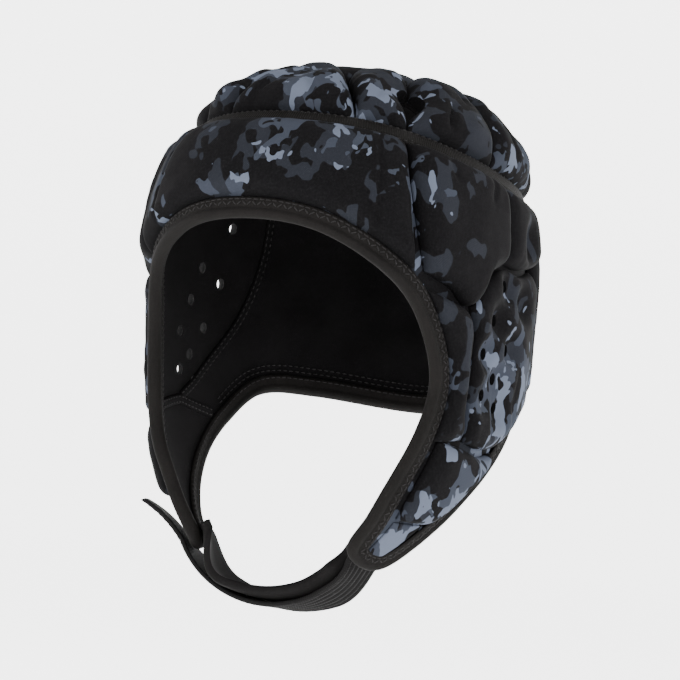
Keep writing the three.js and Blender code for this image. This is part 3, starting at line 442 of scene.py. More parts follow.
def grid_quads(rows, columns, wrap, start=0):
    """Faces of a grid of points, row by row, with the last column joined to the first when wrapped."""
    j, i = np.meshgrid(np.arange(rows - 1), np.arange(columns if wrap else columns - 1), indexing="ij")
    k = (i + 1) % columns
    return (start + np.stack([j * columns + i, (j + 1) * columns + i, (j + 1) * columns + k,
                              j * columns + k], -1)).reshape(-1, 4)


def copied(quads, count, size):
    """Faces of several solids with the same faces, each with its own size points."""
    return (quads[None] + (np.arange(count) * size)[:, None, None]).reshape(-1, 4)


def wall(name, outer, inner, materials, wrap=False):
    """Closed cloth wall: an outer grid, an inner grid turned over, and strips along their edges.
    Outer faces and strips take the first material, inner faces the last."""
    rows, columns = outer.shape[:2]
    n = rows * columns
    front, back = grid_quads(rows, columns, wrap), grid_quads(rows, columns, wrap, n)[:, ::-1]
    i = np.arange(columns if wrap else columns - 1)
    k = (i + 1) % columns
    foot = (rows - 1) * columns
    strips = [np.stack([i, k, n + k, n + i], -1),
              np.stack([foot + k, foot + i, n + foot + i, n + foot + k], -1)]
    if not wrap:
        j = np.arange(rows - 1) * columns
        e = columns - 1
        strips += [np.stack([j + columns, j, n + j, n + j + columns], -1),
                   np.stack([j + e, j + e + columns, n + j + e + columns, n + j + e], -1)]
    quads = np.concatenate([front, back, *strips])
    indices = np.zeros(len(quads), int)
    indices[len(front):len(front) + len(back)] = len(materials) - 1
    points = np.concatenate([outer.reshape(-1, 3), inner.reshape(-1, 3)])
    return mesh_object(name, points, quads, materials, indices)


def swept(name, rings, materials, closed):
    """Solid along a path: each ring is an outline carried to a station. An open one has its end rings
    gathered to their middle line, which closes it. Each vertex keeps its distance along the path."""
    run = distances(rings.mean(1))
    stations, size = rings.shape[:2]
    if not closed:
        ends = [rings[0] * 0 + rings[0].mean(0), rings[-1] * 0 + rings[-1].mean(0)]
        rings = np.concatenate([ends[0][None], rings, ends[1][None]])
        run = np.concatenate([run[:1], run, run[-1:]])
        stations += 2
    points = rings.reshape(-1, 3)
    quads = grid_quads(stations + closed, size, True) % len(points)
    piece = mesh_object(name, points, quads, materials)
    values = np.repeat(run, size).astype(np.float32)
    piece.data.attributes.new("run", "FLOAT", "POINT").data.foreach_set("value", values)
    return piece if closed else merged(piece)


def stations(count, crowd=0.65):
    """Shares from 0 to 1 that lie closer together at both ends: t - crowd * sin(2 pi t) / (2 pi)."""
    t = np.linspace(0, 1, count)
    return t - crowd * np.sin(2 * np.pi * t) / (2 * np.pi)


def patch_grid(form, sides, inset, cell):
    """Places of a patch set in from its edges, and the distances of each from the four edges.
    Lengths across are measured at nine heights and lengths down at nine widths."""
    s = np.linspace(0, 1, 33)
    marks = np.linspace(0, 1, 9)
    wide_at = lengths(form.place(patch(sides, *np.meshgrid(s, marks))), 1)
    tall_at = lengths(form.place(patch(sides, *np.meshgrid(marks, s))), 0)
    columns, rows = int(wide_at.max() / cell) + 3, int(tall_at.max() / cell) + 3
    si, sj = np.meshgrid(stations(columns), stations(rows))
    middle = np.interp(0.5, marks, tall_at)
    wide = np.interp((inset + sj * (middle - 2 * inset)) / middle, marks, wide_at)
    u = (inset + si * (wide - 2 * inset)) / wide
    tall = np.interp(u, marks, tall_at)
    v = (inset + sj * (tall - 2 * inset)) / tall
    x, y = si * (wide - 2 * inset), sj * (tall - 2 * inset)
    return patch(sides, u, v), x, wide - 2 * inset, y, tall - 2 * inset


def round_edge(distance, roll):
    """Height share of a rounded edge: a quarter circle, sqrt(1 - (1 - distance / roll) ** 2)."""
    return np.sqrt(np.clip(1 - (1 - np.clip(distance / roll, 0, 1)) ** 2, 0, 1))


def undulation(x, y, seed, length):
    """Soft unevenness from -1 to 1: the mean of five sine waves that run in directions drawn once."""
    draw = np.random.default_rng(seed)
    turn, phase = draw.uniform(0, 2 * np.pi, 5), draw.uniform(0, 2 * np.pi, 5)
    scale = draw.uniform(0.6, 1.5, 5)
    waves = [np.sin(2 * np.pi * (x * np.cos(a) + y * np.sin(a)) * k / length + p)
             for a, p, k in zip(turn, phase, scale)]
    return np.mean(waves, axis=0)


def gathers(x, wide, y, tall, seed, depth, length=0.0095):
    """Folds that run in from a sewn edge and die away: waves along the edge times
    exp(-distance / fade)."""
    draw = np.random.default_rng(seed)
    total = 0 * x
    for distance, along in ((x, y), (wide - x, y), (y, x), (tall - y, x)):
        phase, pace = draw.uniform(0, 2 * np.pi, 2), draw.uniform(0.8, 1.3)
        wave = (np.sin(2 * np.pi * along * pace / length + phase[0])
                * (0.6 + 0.4 * np.sin(2 * np.pi * along / (3.1 * length) + phase[1])))
        total = total + wave * np.exp(-distance / GATHER_FADE)
    return depth * total


def sideless(name):
    """Name of a piece without its side."""
    return name.removeprefix("left_").removeprefix("right_")


def vent_places(form, name):
    """Places of the vents in a piece, on the left."""
    rows = {"ear_pad": EAR_VENTS, "rear_side_pad": SIDE_VENT,
            "side_lining": np.vstack([EAR_VENTS, SIDE_VENT])}.get(sideless(name))
    return None if rows is None else np.stack([rows[:, 0], rows[:, 1] * form.depth])


def pad_heights(form, name, at, x, wide, y, tall, foam, seed, sizes):
    """Outer heights of a pad above its base: rounded edges, a full middle, gathers along the seams, a slow
    unevenness, and a soft dip round each vent."""
    roll = np.minimum(sizes.pad_roll, 0.46 * np.minimum(wide, tall))
    full = round_edge(np.minimum(x, wide - x), roll) * round_edge(np.minimum(y, tall - y), roll)
    dome = 4 * x * (wide - x) / wide**2 * 4 * y * (tall - y) / tall**2
    swell, gather, uneven = np.array((1.5, 0.6, 1.5) if "crown" in name else (0.9, 0.25, 0.5)) * MM
    height = EDGE_HEIGHT + (foam - EDGE_HEIGHT) * full + swell * dome**0.7
    height = height + gathers(x, wide, y, tall, seed, gather) * full
    height = height + uneven * undulation(x, y, seed, 0.026) * full
    for u, start, end, deep, half in CREASES.get(sideless(name), ()):
        bend = 0.0016 * np.sin(5 * np.pi * y / tall + u * 9)
        window = bell(((y / tall - (start + end) / 2) / (end - start) * 2) ** 2)
        height = height - deep * MM * bell((x - u * wide - bend) / (half * MM)) * window * full**2
    share = vent_dip(form, name, at)
    height = height * (1 - share) + np.minimum(height, VENT_HEIGHT) * share
    if name == "brow_pad":
        side = (np.abs(at[0]) - BROW_DART) * np.radians(1) * form.length / 2
        height = height - DART_DEPTH * bell(side / DART_HALF) * full
    if sideless(name) in SLIT_PADS:
        centre, along, out = leaf_frame(form)
        from_leaf = form.place(np.stack([np.abs(at[0]), at[1]]), LINING) - centre
        far = (from_leaf @ np.cross(out, along) / 0.011) ** 2 + (from_leaf @ along / 0.017) ** 2
        height = height * (1 - 0.5 * np.exp(-(far**1.5)))
    return height


def vent_dip(form, name, at):
    """Share of the soft dip round the vents: 1 - exp(-2 * sum of exp(-(distance / fade) ** 2))."""
    vents = vent_places(form, name)
    if vents is None:
        return 0 * at[0]
    points = form.place(np.stack([np.abs(at[0]), at[1]]))
    near = np.linalg.norm(points[..., None, :] - form.place(vents), axis=-1)
    return 1 - np.exp(-2 * bell(near / VENT_FADE).sum(-1))


def drilled(piece, cutter_points, cutter_quads, materials):
    """Piece with closed cutters taken away; the cut's faces take the piece's last material."""
    cutter = mesh_object(piece.name + "_cutter", cutter_points, cutter_quads, materials,
                         np.full(len(cutter_quads), len(materials) - 1))
    edited(cutter, joined(1e-7), outward)
    cut = piece.modifiers.new("vents", "BOOLEAN")
    cut.operation, cut.solver, cut.object = "DIFFERENCE", "EXACT", cutter
    graph = bpy.context.evaluated_depsgraph_get()
    cut_mesh = bpy.data.meshes.new_from_object(piece.evaluated_get(graph), depsgraph=graph)
    piece.modifiers.clear()
    old, piece.data = piece.data, cut_mesh
    cut_mesh.name = piece.name
    bpy.data.meshes.remove(old)
    spare = cutter.data
    bpy.data.objects.remove(cutter)
    bpy.data.meshes.remove(spare)
    piece.data.set_sharp_from_angle(angle=np.radians(55))
    return piece


def prisms(centres, outs, ups, outline, reach):
    """Closed prisms with one outline at several places: centre + across * side + lift * up, from -reach to
    +reach along the way out."""
    sides = np.cross(outs, ups)
    ring = (centres[:, None] + outline[None, :, :1] * sides[:, None] + outline[None, :, 1:] * ups[:, None])
    size = len(outline)
    low, high = ring - outs[:, None] * reach, ring + outs[:, None] * reach
    middles = np.stack([low.mean(1), high.mean(1)], 1)
    points = np.concatenate([low, high, middles], 1)
    i = np.arange(size)
    k = (i + 1) % size
    walls = np.stack([i, k, size + k, size + i], -1)
    half = np.arange(0, size, 2)
    a, b, c = half, (half + 1) % size, (half + 2) % size
    caps = np.concatenate([np.stack([a, b, c, 0 * a + 2 * size], -1),
                           np.stack([size + c, size + b, size + a, 0 * a + 2 * size + 1], -1)])
    one = np.concatenate([walls, caps])
    return points.reshape(-1, 3), copied(one, len(centres), points.shape[1])


def vent_cutters(form, name, sign, diameter):
    """Round cutters along the way of each vent in a piece, if it has any. The soft cap is drawn back on the
    wearer's right, so that its holes lean towards the back of the head there."""
    places = vent_places(form, name)
    if places is None:
        return None
    points, outs = form.place(places), form.normal(places)
    outs = unit(outs + np.array([0.0, VENT_LEAN[sign], 0.0]))
    outs = outs * handed(sign)
    ups = unit(np.array([0.0, 0.0, 1.0]) - outs * outs[:, 2:3])
    angle = circle(24)
    outline = np.stack([0.88 * np.cos(angle), 1.04 * np.sin(angle)], -1) * diameter / 2
    return prisms(points * handed(sign), outs, ups, outline, VENT_DRILL)


def leaf_frame(form):
    """Middle of the slit on the left, the way along it up the crown, and the way out."""
    row = tuple(CROWN_LINES[LEAF_LINE])
    edge = form.reach(form.beside_tape(row[0], -TAPE_SIDE)[1])
    share = (LEAF_REACH - TOP_REACH) / (edge - TOP_REACH)
    at = form.crown_place(row, share)
    along = form.place(form.crown_place(row, share - 0.1)) - form.place(form.crown_place(row, share + 0.1))
    out = form.normal(at)
    return form.place(at), unit(along - out * (along @ out)), out


def leaf_cutters(form, sizes, sign):
    """Leaf-shaped cutter on the second crown line: half width = width / 2 * (1 - t ** 2) along its length."""
    centre, up, out = leaf_frame(form)
    t = np.concatenate([np.linspace(-1, 1, 17)[:-1], np.linspace(1, -1, 17)[:-1]])
    side = np.concatenate([np.ones(16), -np.ones(16)])
    outline = np.stack([side * sizes.leaf_width / 2 * (1 - t**2), t * sizes.leaf_length / 2], -1)
    return prisms(*(way[None] * handed(sign) for way in (centre, out, up)), outline, LEAF_DRILL)


def stitches(name, points, outs, sides, material, thread=0.0003, share=0.62):
    """Thread on the cloth: between each pair of points one flat-ended bead, thickest in its middle,
    whose ends dip into the cloth. points are (n, 2, 3): both ends of each stitch."""
    start, end = points[:, 0], points[:, 1]
    middle, ahead = (start + end) / 2, (end - start) * share / 2
    s = np.array([-1, -0.6, 0, 0.6, 1])
    girth = np.array([0.35, 0.9, 1.0, 0.9, 0.35]) * thread
    rise = np.array([-0.8, 0.35, 0.6, 0.35, -0.8]) * thread
    angle = circle(6)
    ring = (middle[:, None, None] + ahead[:, None, None] * s[None, :, None, None]
            + sides[:, None, None] * (girth[:, None] * np.cos(angle))[None, :, :, None]
            + outs[:, None, None] * (rise[:, None] + girth[:, None] * np.sin(angle))[None, :, :, None])
    n, rings, size = ring.shape[:3]
    body = np.roll(grid_quads(rings, size, True)[:, ::-1], 1, 1)
    cap = np.array([[0, 5, 4, 3], [0, 3, 2, 1]])
    tail = (rings - 1) * size + np.array([[0, 1, 2, 3], [0, 3, 4, 5]])
    one = np.concatenate([body, cap, tail])
    quads = copied(one, n, rings * size)
    return edited(mesh_object(name, ring.reshape(-1, 3), quads, [material]), outward)


def stitch_run(form, curve, lift, pitch, sway=0.0, way=1.0):
    """Ends, ways out and ways across of the stitches along a run of places, at equal distances. With sway
    the ends swing to either side in turn, which makes a zigzag."""
    t = np.linspace(0, 1, 1200)
    at = curve(t)
    line = form.place(at, lift)
    run = distances(line)
    count = int(run[-1] / pitch / 2) * 2
    marks = np.interp(np.linspace(0, run[-1], count + 1), run, t)
    places = curve(marks)
    points, outs = form.place(places, lift), form.normal(places)
    ahead = unit(np.gradient(points, axis=0))
    across = unit(np.cross(outs, ahead))
    swing = np.where(np.arange(count + 1) % 2, 1.0, -1.0)[:, None] * sway
    points = points + across * swing
    pairs = np.stack([points[:-1], points[1:]], 1)
    ways = unit(np.cross(outs[:-1], pairs[:, 1] - pairs[:, 0]))
    return pairs, outs[:-1] * way, ways


def joined_runs(runs):
    """Several runs of stitches as one."""
    return [np.concatenate(part) for part in zip(*runs)]


# ---- materials

class Value:
    """A number that varies over a surface; sums and products of it add Math nodes."""

    def __init__(self, paint, socket):
        self.paint, self.socket = paint, socket

    def math(self, operation, *others):
        return self.paint.node("ShaderNodeMath", {"operation": operation}, {0: self, **{
            i + 1: other for i, other in enumerate(others)}})

    def __add__(self, other):
        return self.math("ADD", other)

    def __sub__(self, other):
        return self.math("SUBTRACT", other)

    def __mul__(self, other):
        return self.math("MULTIPLY", other)

    __radd__, __rmul__ = __add__, __mul__

    def sine(self):
        return self.math("SINE")

    def clamped(self):
        return self.math("MINIMUM", 1.0).math("MAXIMUM", 0.0)

    def step(self, low, high):
        """0 below low, 1 above high."""
        return self.paint.node("ShaderNodeMapRange", {"interpolation_type": "SMOOTHSTEP"},
                               {"Value": self, "From Min": low, "From Max": high})


class Paint:
    """One material with a Principled shader."""

    def __init__(self, name, **constants):
        self.material = bpy.data.materials.new(name)
        self.material.use_nodes = True
        self.tree = self.material.node_tree
        self.shader = self.tree.nodes["Principled BSDF"]
        for socket, value in constants.items():
            self.shader.inputs[socket.replace("_", " ")].default_value = value
        self.place = self.node("ShaderNodeTexCoord", {}, {}, "Object")

    def node(self, kind, settings, inputs, output=0):
        """A node with its settings made first and then its sockets set or linked."""
        made = self.tree.nodes.new(kind)
        for key, value in settings.items():
            setattr(made, key, value)
        for key, value in inputs.items():
            if isinstance(value, Value):
                self.tree.links.new(value.socket, made.inputs[key])
            else:
                made.inputs[key].default_value = value
        return Value(self, made.outputs[output])

    def noise(self, place, scale, detail=2.0, roughness=0.5, distortion=0.0):
        return self.node("ShaderNodeTexNoise", {}, {"Vector": place, "Scale": scale, "Detail": detail,
                                                    "Roughness": roughness, "Distortion": distortion})

    def squeezed(self, scale, location=(0, 0, 0), rotation=(0, 0, 0)):
        """Coordinates scaled along each axis, which stretches a pattern."""
        return self.node("ShaderNodeMapping", {}, {"Vector": self.place, "Scale": scale,
                                                   "Location": location, "Rotation": rotation})

    def mixed(self, share, a, b):
        """Colour between two colours."""
        a, b = (c if isinstance(c, Value) else (*c, 1) for c in (a, b))
        return self.node("ShaderNodeMix", {"data_type": "RGBA"}, {"Factor": share, 6: a, 7: b}, 2)

    def axes(self):
        """The three coordinates of the place."""
        split = self.tree.nodes.new("ShaderNodeSeparateXYZ")
        self.tree.links.new(self.place.socket, split.inputs[0])
        return [Value(self, out) for out in split.outputs]

    def feed(self, socket, value):
        self.tree.links.new(value.socket, self.shader.inputs[socket])

    def bump(self, height, distance, strength=1.0):
        self.feed("Normal", self.node("ShaderNodeBump", {}, {"Height": height, "Distance": distance,
                                                             "Strength": strength}))


def weave(paint, pitch):
    """Plain knit: two crossed sets of ridges, sin of the place divided by the pitch, mixed with noise."""
    x, y, z = paint.axes()
    k = 2 * np.pi / pitch
    knit = (z * k).sine() * ((x + y * 0.7) * k).sine()
    return knit * 0.5 + paint.noise(paint.place, 0.5 / pitch, 3.0) * 0.8


def printed_cloth(colours):
    """Stretch cloth with a generic dark camouflage: soft-edged noise cut at levels, stretched upright.
    Charcoal covers about a third, slate a sixth, and a pale tone only small flecks on the sides."""
    paint = Paint("printed cloth", Roughness=0.85, Specular_IOR_Level=0.035)
    upright = paint.squeezed((1.0, 1.0, 0.72))
    leaning = paint.squeezed((1.0, 1.0, 0.7), location=(0.31, 0.17, 0.05), rotation=(0.25, 0.2, 0.1))
    area = paint.noise(paint.squeezed((1, 1, 1), location=(0.55, 0.1, 0.33)), 17, 1.0) - 0.5
    x, y, _ = paint.axes()
    lean, front = x.step(-0.09, 0.075), y.step(0.02, -0.09)
    charcoal = paint.noise(upright, 62, 2.0, 0.5, 0.35) + area * 0.35
    slate = paint.noise(leaning, 76, 2.4, 0.5, 0.4) + area * 0.8 + lean * 0.02 + front * 0.025
    fleck = paint.noise(leaning, 104, 2.0, 0.5, 0.5) + area * 0.8 + lean * 0.05
    blot = paint.noise(upright, 118, 1.5, 0.5, 0.3)
    colour = colours.black
    for pattern, low, high, tone in (
            (charcoal, 0.548, 0.556, colours.charcoal), (slate, 0.652, 0.659, colours.slate),
            (fleck, 0.7, 0.707, colours.pale), (blot, 0.625, 0.633, colours.black)):
        colour = paint.mixed(pattern.step(low, high), colour, tone)
    fibre = paint.noise(paint.place, 1100, 2.0).step(0.3, 0.8)
    paint.feed("Base Color", paint.mixed(fibre * 0.03, colour, (0.06, 0.06, 0.065)))
    paint.feed("Roughness", paint.noise(paint.place, 160, 3.0) * 0.2 + 0.72)
    paint.bump(weave(paint, 0.0009), 0.00012, 0.5)
    return paint.material


def plain_cloth(name, colour, tone, pitch, depth, roughness=0.85):
    """Cloth of one dye: slow changes of tone, fine fibres and a weave."""
    paint = Paint(name, Roughness=roughness, Specular_IOR_Level=0.035)
    slow, fine = paint.noise(paint.place, 45, 3.0), paint.noise(paint.place, 1400, 2.0)
    shade = (slow * 0.6 + fine * 0.5).step(0.35, 0.75)
    paint.feed("Base Color", paint.mixed(shade, colour, [c * tone for c in colour]))
    paint.feed("Roughness", slow * 0.25 + (roughness - 0.12))
    paint.bump(weave(paint, pitch), depth, 0.6)
    return paint.material


def ribbed_cloth(name, colour, pitch, depth):
    """Webbing or tape: ribs across the run, taken from the piece's own map, with a painted highlight on the rib
    tops and painted shade in the grooves.
    """
    paint = Paint(name, Roughness=0.72, Specular_IOR_Level=0.05)
    run = paint.node("ShaderNodeAttribute", {"attribute_name": "run"}, {}, "Fac")
    ribs = (run * (2 * np.pi / pitch)).sine() * 0.5 + 0.5
    fine = paint.noise(paint.place, 1300, 2.0)
    # lit and shaded copies of the dye, mixed by the ribs: painted shade in the grooves and a painted highlight
    # on the rib tops
    dark, light = [c * 0.55 for c in colour], [c * 1.35 for c in colour]
    paint.feed("Base Color", paint.mixed((ribs * 0.6 + fine * 0.5).clamped(), dark, light))
    paint.feed("Roughness", fine * 0.2 + 0.6)
    paint.bump(ribs + fine * 0.5, depth, 0.8)
    return paint.material


def cloths(scene):
    """The materials by name, made once."""
    if "printed cloth" not in bpy.data.materials:
        colours = scene.cap_colours
        printed_cloth(colours)
        plain_cloth("black lining", colours.lining, 1.9, 0.0011, 0.0001, 0.9)
        plain_cloth("edge binding", colours.trim, 1.7, 0.0007, 0.00012, 0.7)
        plain_cloth("chin padding", colours.padding, 1.6, 0.0009, 0.0001, 0.85)
        plain_cloth("thread", colours.thread, 1.4, 0.0003, 0.00003, 0.6)
        plain_cloth("foam", (0.0015, 0.0015, 0.0016), 1.5, 0.0008, 0.0001, 0.95)
        ribbed_cloth("woven tape", colours.trim, 0.0011, 0.00018)
        ribbed_cloth("strap webbing", colours.strap, 0.0012, 0.00012)
    return bpy.data.materials


def dressed(piece, slot, *nodes, fill=None):
    """Ties a piece to the cap's body and hides the nodes that it stands for."""
    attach(piece, "root")
    if nodes:
        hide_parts(*nodes)
    return piece


# ---- sizes and colours that a user would change

def length(name, description, default):
    return bpy.props.FloatProperty(name=name, description=description, default=default, min=0.0,
                                   unit="LENGTH", subtype="DISTANCE", precision=4)


def dye(name, description, default):
    return bpy.props.FloatVectorProperty(name=name, description=description, default=default, subtype="COLOR",
                                         min=0.0, max=1.0)


class CapSizes(bpy.types.PropertyGroup):
    """Sizes of the cap."""
    head_width: length("Head width", "Inside width over the ears", 0.153)
    head_length: length("Head length", "Inside length from brow to nape", 0.191)
    head_depth: length("Head depth", "Height from the crown to under the chin", 0.235)
    crown_foam: length("Crown foam", "Thickness of the crown pads", 0.0105)
    top_foam: length("Top foam", "Thickness of the round top pad", 0.0115)
    brow_foam: length("Brow foam", "Thickness of the brow pad", 0.008)
    temple_foam: length("Temple foam", "Thickness of the temple pads", 0.009)
    side_foam: length("Side foam", "Thickness of the pads behind the temples", 0.0075)
    ear_foam: length("Ear foam", "Thickness of the ear, back and cheek pads", 0.0065)
    strip_foam: length("Strip foam", "Thickness of the strips beside the face", 0.006)
    pad_roll: length("Pad roll", "Radius of a pad's rounded edge", 0.0085)
    cell: length("Cell", "Size of a face on the pads", 0.0011)
    vent: length("Vent", "Diameter of the ear vents", 0.0052)
    leaf_length: length("Slit length", "Length of the slits in the crown", 0.027)
    leaf_width: length("Slit width", "Width of the slits in the crown", 0.014)
    strap_width: length("Strap width", "Width of the chin strap", 0.020)
    strap: length("Strap", "Thickness of the chin strap", 0.0022)
    stitch: length("Stitch", "Length of a stitch with its gap", 0.0031)


class CapColours(bpy.types.PropertyGroup):
    """Dyes of the cloth."""
    black: dye("Black", "Ground of the print", (0.0017, 0.0016, 0.0018))
    charcoal: dye("Charcoal", "Second tone of the print", (0.0078, 0.0088, 0.0115))
    slate: dye("Slate", "Third tone of the print", (0.0175, 0.0205, 0.028))
    pale: dye("Pale", "Flecks of the print", (0.054, 0.063, 0.085))
    lining: dye("Lining", "Inside of the cap", (0.002, 0.0019, 0.002))
    trim: dye("Trim", "Tape and binding", (0.0036, 0.0033, 0.0031))
    padding: dye("Padding", "Inside of the chin strap", (0.0035, 0.0033, 0.0033))
    strap: dye("Strap", "Webbing of the chin strap", (0.0034, 0.0032, 0.0032))
    thread: dye("Thread", "Stitching", (0.011, 0.0105, 0.0105))


# ---- operators

class Maker:
    """What every operator here shares."""
    bl_options = {"REGISTER"}

    def execute(self, context):
        scene = context.scene
        self.build(HeadForm(scene.cap_sizes), scene.cap_sizes, cloths(scene))
        return {"FINISHED"}


SIDES = (("left", 1), ("right", -1))


def seams(form):
    """Seam lines of the lining on the left: brow, ear (both tied to the tape) and cheek."""
    def tied(rows):
        curve = form.line(rows)
        drop = form.beside_tape(rows[0, 0], 0.0)[1] - rows[0, 1] * form.depth
        return lambda t: curve(t) + np.stack([0 * t, drop * (1 - t)])
    a, b, c = (row * (1, form.depth) for row in CHEEK_SEAM)

    def cheek(t):
        return np.where(t < 0.5, between(a, b)(2 * t), between(b, c)(2 * t - 1))
    return tied(BROW_SEAM), tied(EAR_SEAM), cheek


SPOKES = 180  # columns of the crown lining
SEAM_SHARE = 2 / 11  # share of the back panel's foot, from each ear seam to the nape, on the cheek seam
BROW_SHARE = 3 / 12  # share of the side panel's front on the brow seam; the rest is the edge of the cap


def lining_cloths(cloth):
    """Printed outside and black inside."""
    return [cloth["printed cloth"], cloth["black lining"]]


def lining_sheet(node, form, sides, columns, rows, cloth, wrinkle, seed):
    """Lining panel: printed outside and black inside, with shallow wrinkles in its inner face."""
    u, v = np.meshgrid(np.linspace(0, 1, columns), np.linspace(0, 1, rows))
    at = patch(sides, u, v)
    inner = form.point(at)
    creases = wrinkle * undulation(inner[..., 0] + inner[..., 1], inner[..., 2], seed, 0.035)
    lift = LINING - VENT_SINK * vent_dip(form, node, at)
    piece = wall(node + "_cloth", form.place(at, lift), form.place(at, creases),
                 lining_cloths(cloth))
    dressed(piece, "lining_cloth", node)
    return cut_flat(piece)


def cut_flat(piece):
    """Gives the panel back unchanged."""
    return piece


class CAP_OT_lining(Maker, bpy.types.Operator):
    """Sew the lining: crown, brow, back, sides and cheeks, with the vents and slits through it"""
    bl_idname, bl_label = "cap.lining", "Lining"

    def build(self, form, sizes, cloth):
        brow_seam, ear_seam, cheek_seam = seams(form)
        pair = lining_cloths(cloth)
        half = SEAM / 2

        # crown: rings from the middle to the tape
        turn, share = np.meshgrid(np.linspace(0, 360, SPOKES + 1)[:-1], np.linspace(0, 1, 46))
        edge = form.reach(form.beside_tape(turn[0], -half)[1])
        at = np.stack([turn, form.depth_at(edge * share)])
        folds = 0.25 * MM * undulation(*form.point(at)[..., :2].transpose(2, 0, 1), 7, 0.04) * share**2
        crown = merged(wall("crown_lining_cloth", form.place(at, LINING), form.place(at, folds), pair, True))
        leaves = [leaf_cutters(form, sizes, sign) for _, sign in SIDES]
        points = np.concatenate([leaf[0] for leaf in leaves])
        quads = np.concatenate([leaves[0][1], leaves[1][1] + len(leaves[0][0])])
        dressed(drilled(crown, points, quads, pair), "lining_cloth", "crown_lining")
        dome = form.point(np.concatenate([at, at[:, :, :1]], 2))
        cut_flat(crown)

        def beside(curve, distance):
            def run(t):
                at = curve(t)
                around = np.linalg.norm(form.slopes(at)[0], axis=-1)
                return np.stack([at[0] + distance / around, at[1]])
            return run

        # brow
        far = beside(brow_seam, -half)
        top = form.along_tape(-far(0.0)[0], far(0.0)[0], half)
        foot = form.along_rim(-BROW_ROW + 0.01, BROW_ROW - 0.01)
        sides = (top, foot, stretched(lambda t: mirrored(far(t)), top(0.0), foot(0.0)),
                 stretched(far, top(1.0), foot(1.0)))
        lining_sheet("brow_lining", form, sides, 110, 44, cloth, 0.1 * MM, 3)

        # back, from ear seam to ear seam
        def half_foot(t):
            seam_part = lowered(cheek_seam, -half)(0.5 + 0.5 * np.clip(t / SEAM_SHARE, 0, 1))
            rim_share = np.clip((t - SEAM_SHARE) / (1 - SEAM_SHARE), 0, 1)
            rim_part = form.rim(NAPE_ROW + (LAST_ROW - NAPE_ROW) * rim_share)
            return np.where(t < SEAM_SHARE, seam_part, rim_part)

        def whole_foot(t):
            at = half_foot(np.where(t <= 0.5, 2 * t, 2 - 2 * t))
            return np.where(t <= 0.5, at, opposite(at))
        near = beside(ear_seam, half)
        start = near(0.0)[0]
        top = form.along_tape(start, 360 - start, half)
        near = stretched(near, top(0.0), whole_foot(0.0))
        sides = (top, whole_foot, near, lambda t: opposite(near(t)))
        lining_sheet("back_lining", form, sides, 220, 90, cloth, 0.45 * MM, 5)

        # side panel over the ear, and cheek
        start, end = beside(brow_seam, half), beside(ear_seam, -half)
        top = form.along_tape(start(0.0)[0], end(0.0)[0], half)
        edge = form.along_rim(BROW_ROW, CHEEK_ROW - 0.01)
        first = stretched(start, top(0.0), edge(0.0))

        def front(t):
            return np.where(t < BROW_SHARE, first(np.clip(t / BROW_SHARE, 0, 1)),
                            edge(np.clip((t - BROW_SHARE) / (1 - BROW_SHARE), 0, 1)))
        foot_end = end(1.0) - np.array([0, half])
        panel = (top, between(front(1.0), foot_end), front, stretched(end, top(1.0), foot_end))
        top, foot = lowered(cheek_seam, half), form.along_rim(TIP_ROW, TIP_BACK_ROW)
        cheek = (top, foot, stretched(form.along_rim(CHEEK_ROW, TIP_ROW), top(0.0), foot(0.0)),
                 stretched(form.along_rim(NAPE_ROW, TIP_BACK_ROW), top(1.0), foot(1.0)))
        for side, sign in SIDES:
            piece = lining_sheet(side + "_side_lining", form, on_side(panel, sign), 80, 110, cloth,
                                 0.2 * MM, 11)
            drilled(piece, *vent_cutters(form, "side_lining", sign, sizes.vent), pair)
            lining_sheet(side + "_cheek_lining", form, on_side(cheek, sign), 50, 60, cloth, 0.15 * MM, 13)


class CAP_OT_crown_pads(Maker, bpy.types.Operator):
    """Pad the crown: a round top pad and ten segments round it, two of them cut by a slit on each side"""
    bl_idname, bl_label = "cap.crown_pads", "Crown pads"

    def build(self, form, sizes, cloth):
        turn, share = np.meshgrid(np.linspace(0, 360, 161)[:-1], np.sin(np.linspace(0, np.pi / 2, 42)))
        rim = np.stack([turn[0], 0 * turn[0] + form.depth_at(TOP_REACH)])
        edge = np.linalg.norm(form.place(rim), axis=-1)
        at = np.stack([turn, form.depth_at(TOP_REACH * (1 - 0.3 * MM / edge) * share)])
        x, y = share * np.cos(np.radians(turn)), share * np.sin(np.radians(turn))
        # flat on top with a round edge, a soft unevenness and 24 gathers along the seam
        height = (EDGE_HEIGHT + (sizes.top_foam - EDGE_HEIGHT) * np.sqrt(np.clip(1 - share**5, 0, 1))
                  + 0.5 * MM * undulation(x, y, 21, 0.9) * (1 - share**4)
                  + 0.3 * MM * np.sin(np.radians(turn) * TOP_GATHERS) * share**6
                  * np.sqrt(np.clip(1 - share**8, 0, 1)))
        top = merged(wall("crown_top_pad_cloth", form.place(at, PAD_BASE + height), form.place(at, PAD_BASE),
                          [cloth["printed cloth"]], wrap=True))
        dressed(top, "printed_cloth", "crown_top_pad", fill=0.9)
        make_pads(form, sizes, cloth, crown=True)


PADS = {  # foam of each pad; the order sets its seed
    "crown_front_pad": "crown_foam", "crown_back_pad": "crown_foam", "brow_pad": "brow_foam",
    "nape_pad": "ear_foam", "crown_front_side_pad": "crown_foam", "crown_side_pad": "crown_foam",
    "crown_rear_side_pad": "crown_foam", "crown_back_side_pad": "crown_foam", "temple_pad": "temple_foam",
    "rear_side_pad": "side_foam", "ear_strip_pad": "strip_foam", "ear_pad": "ear_foam",
    "back_pad": "ear_foam", "cheek_pad": "ear_foam"}
SEEDS = {name: 100 + 7 * i for i, name in enumerate(PADS)}


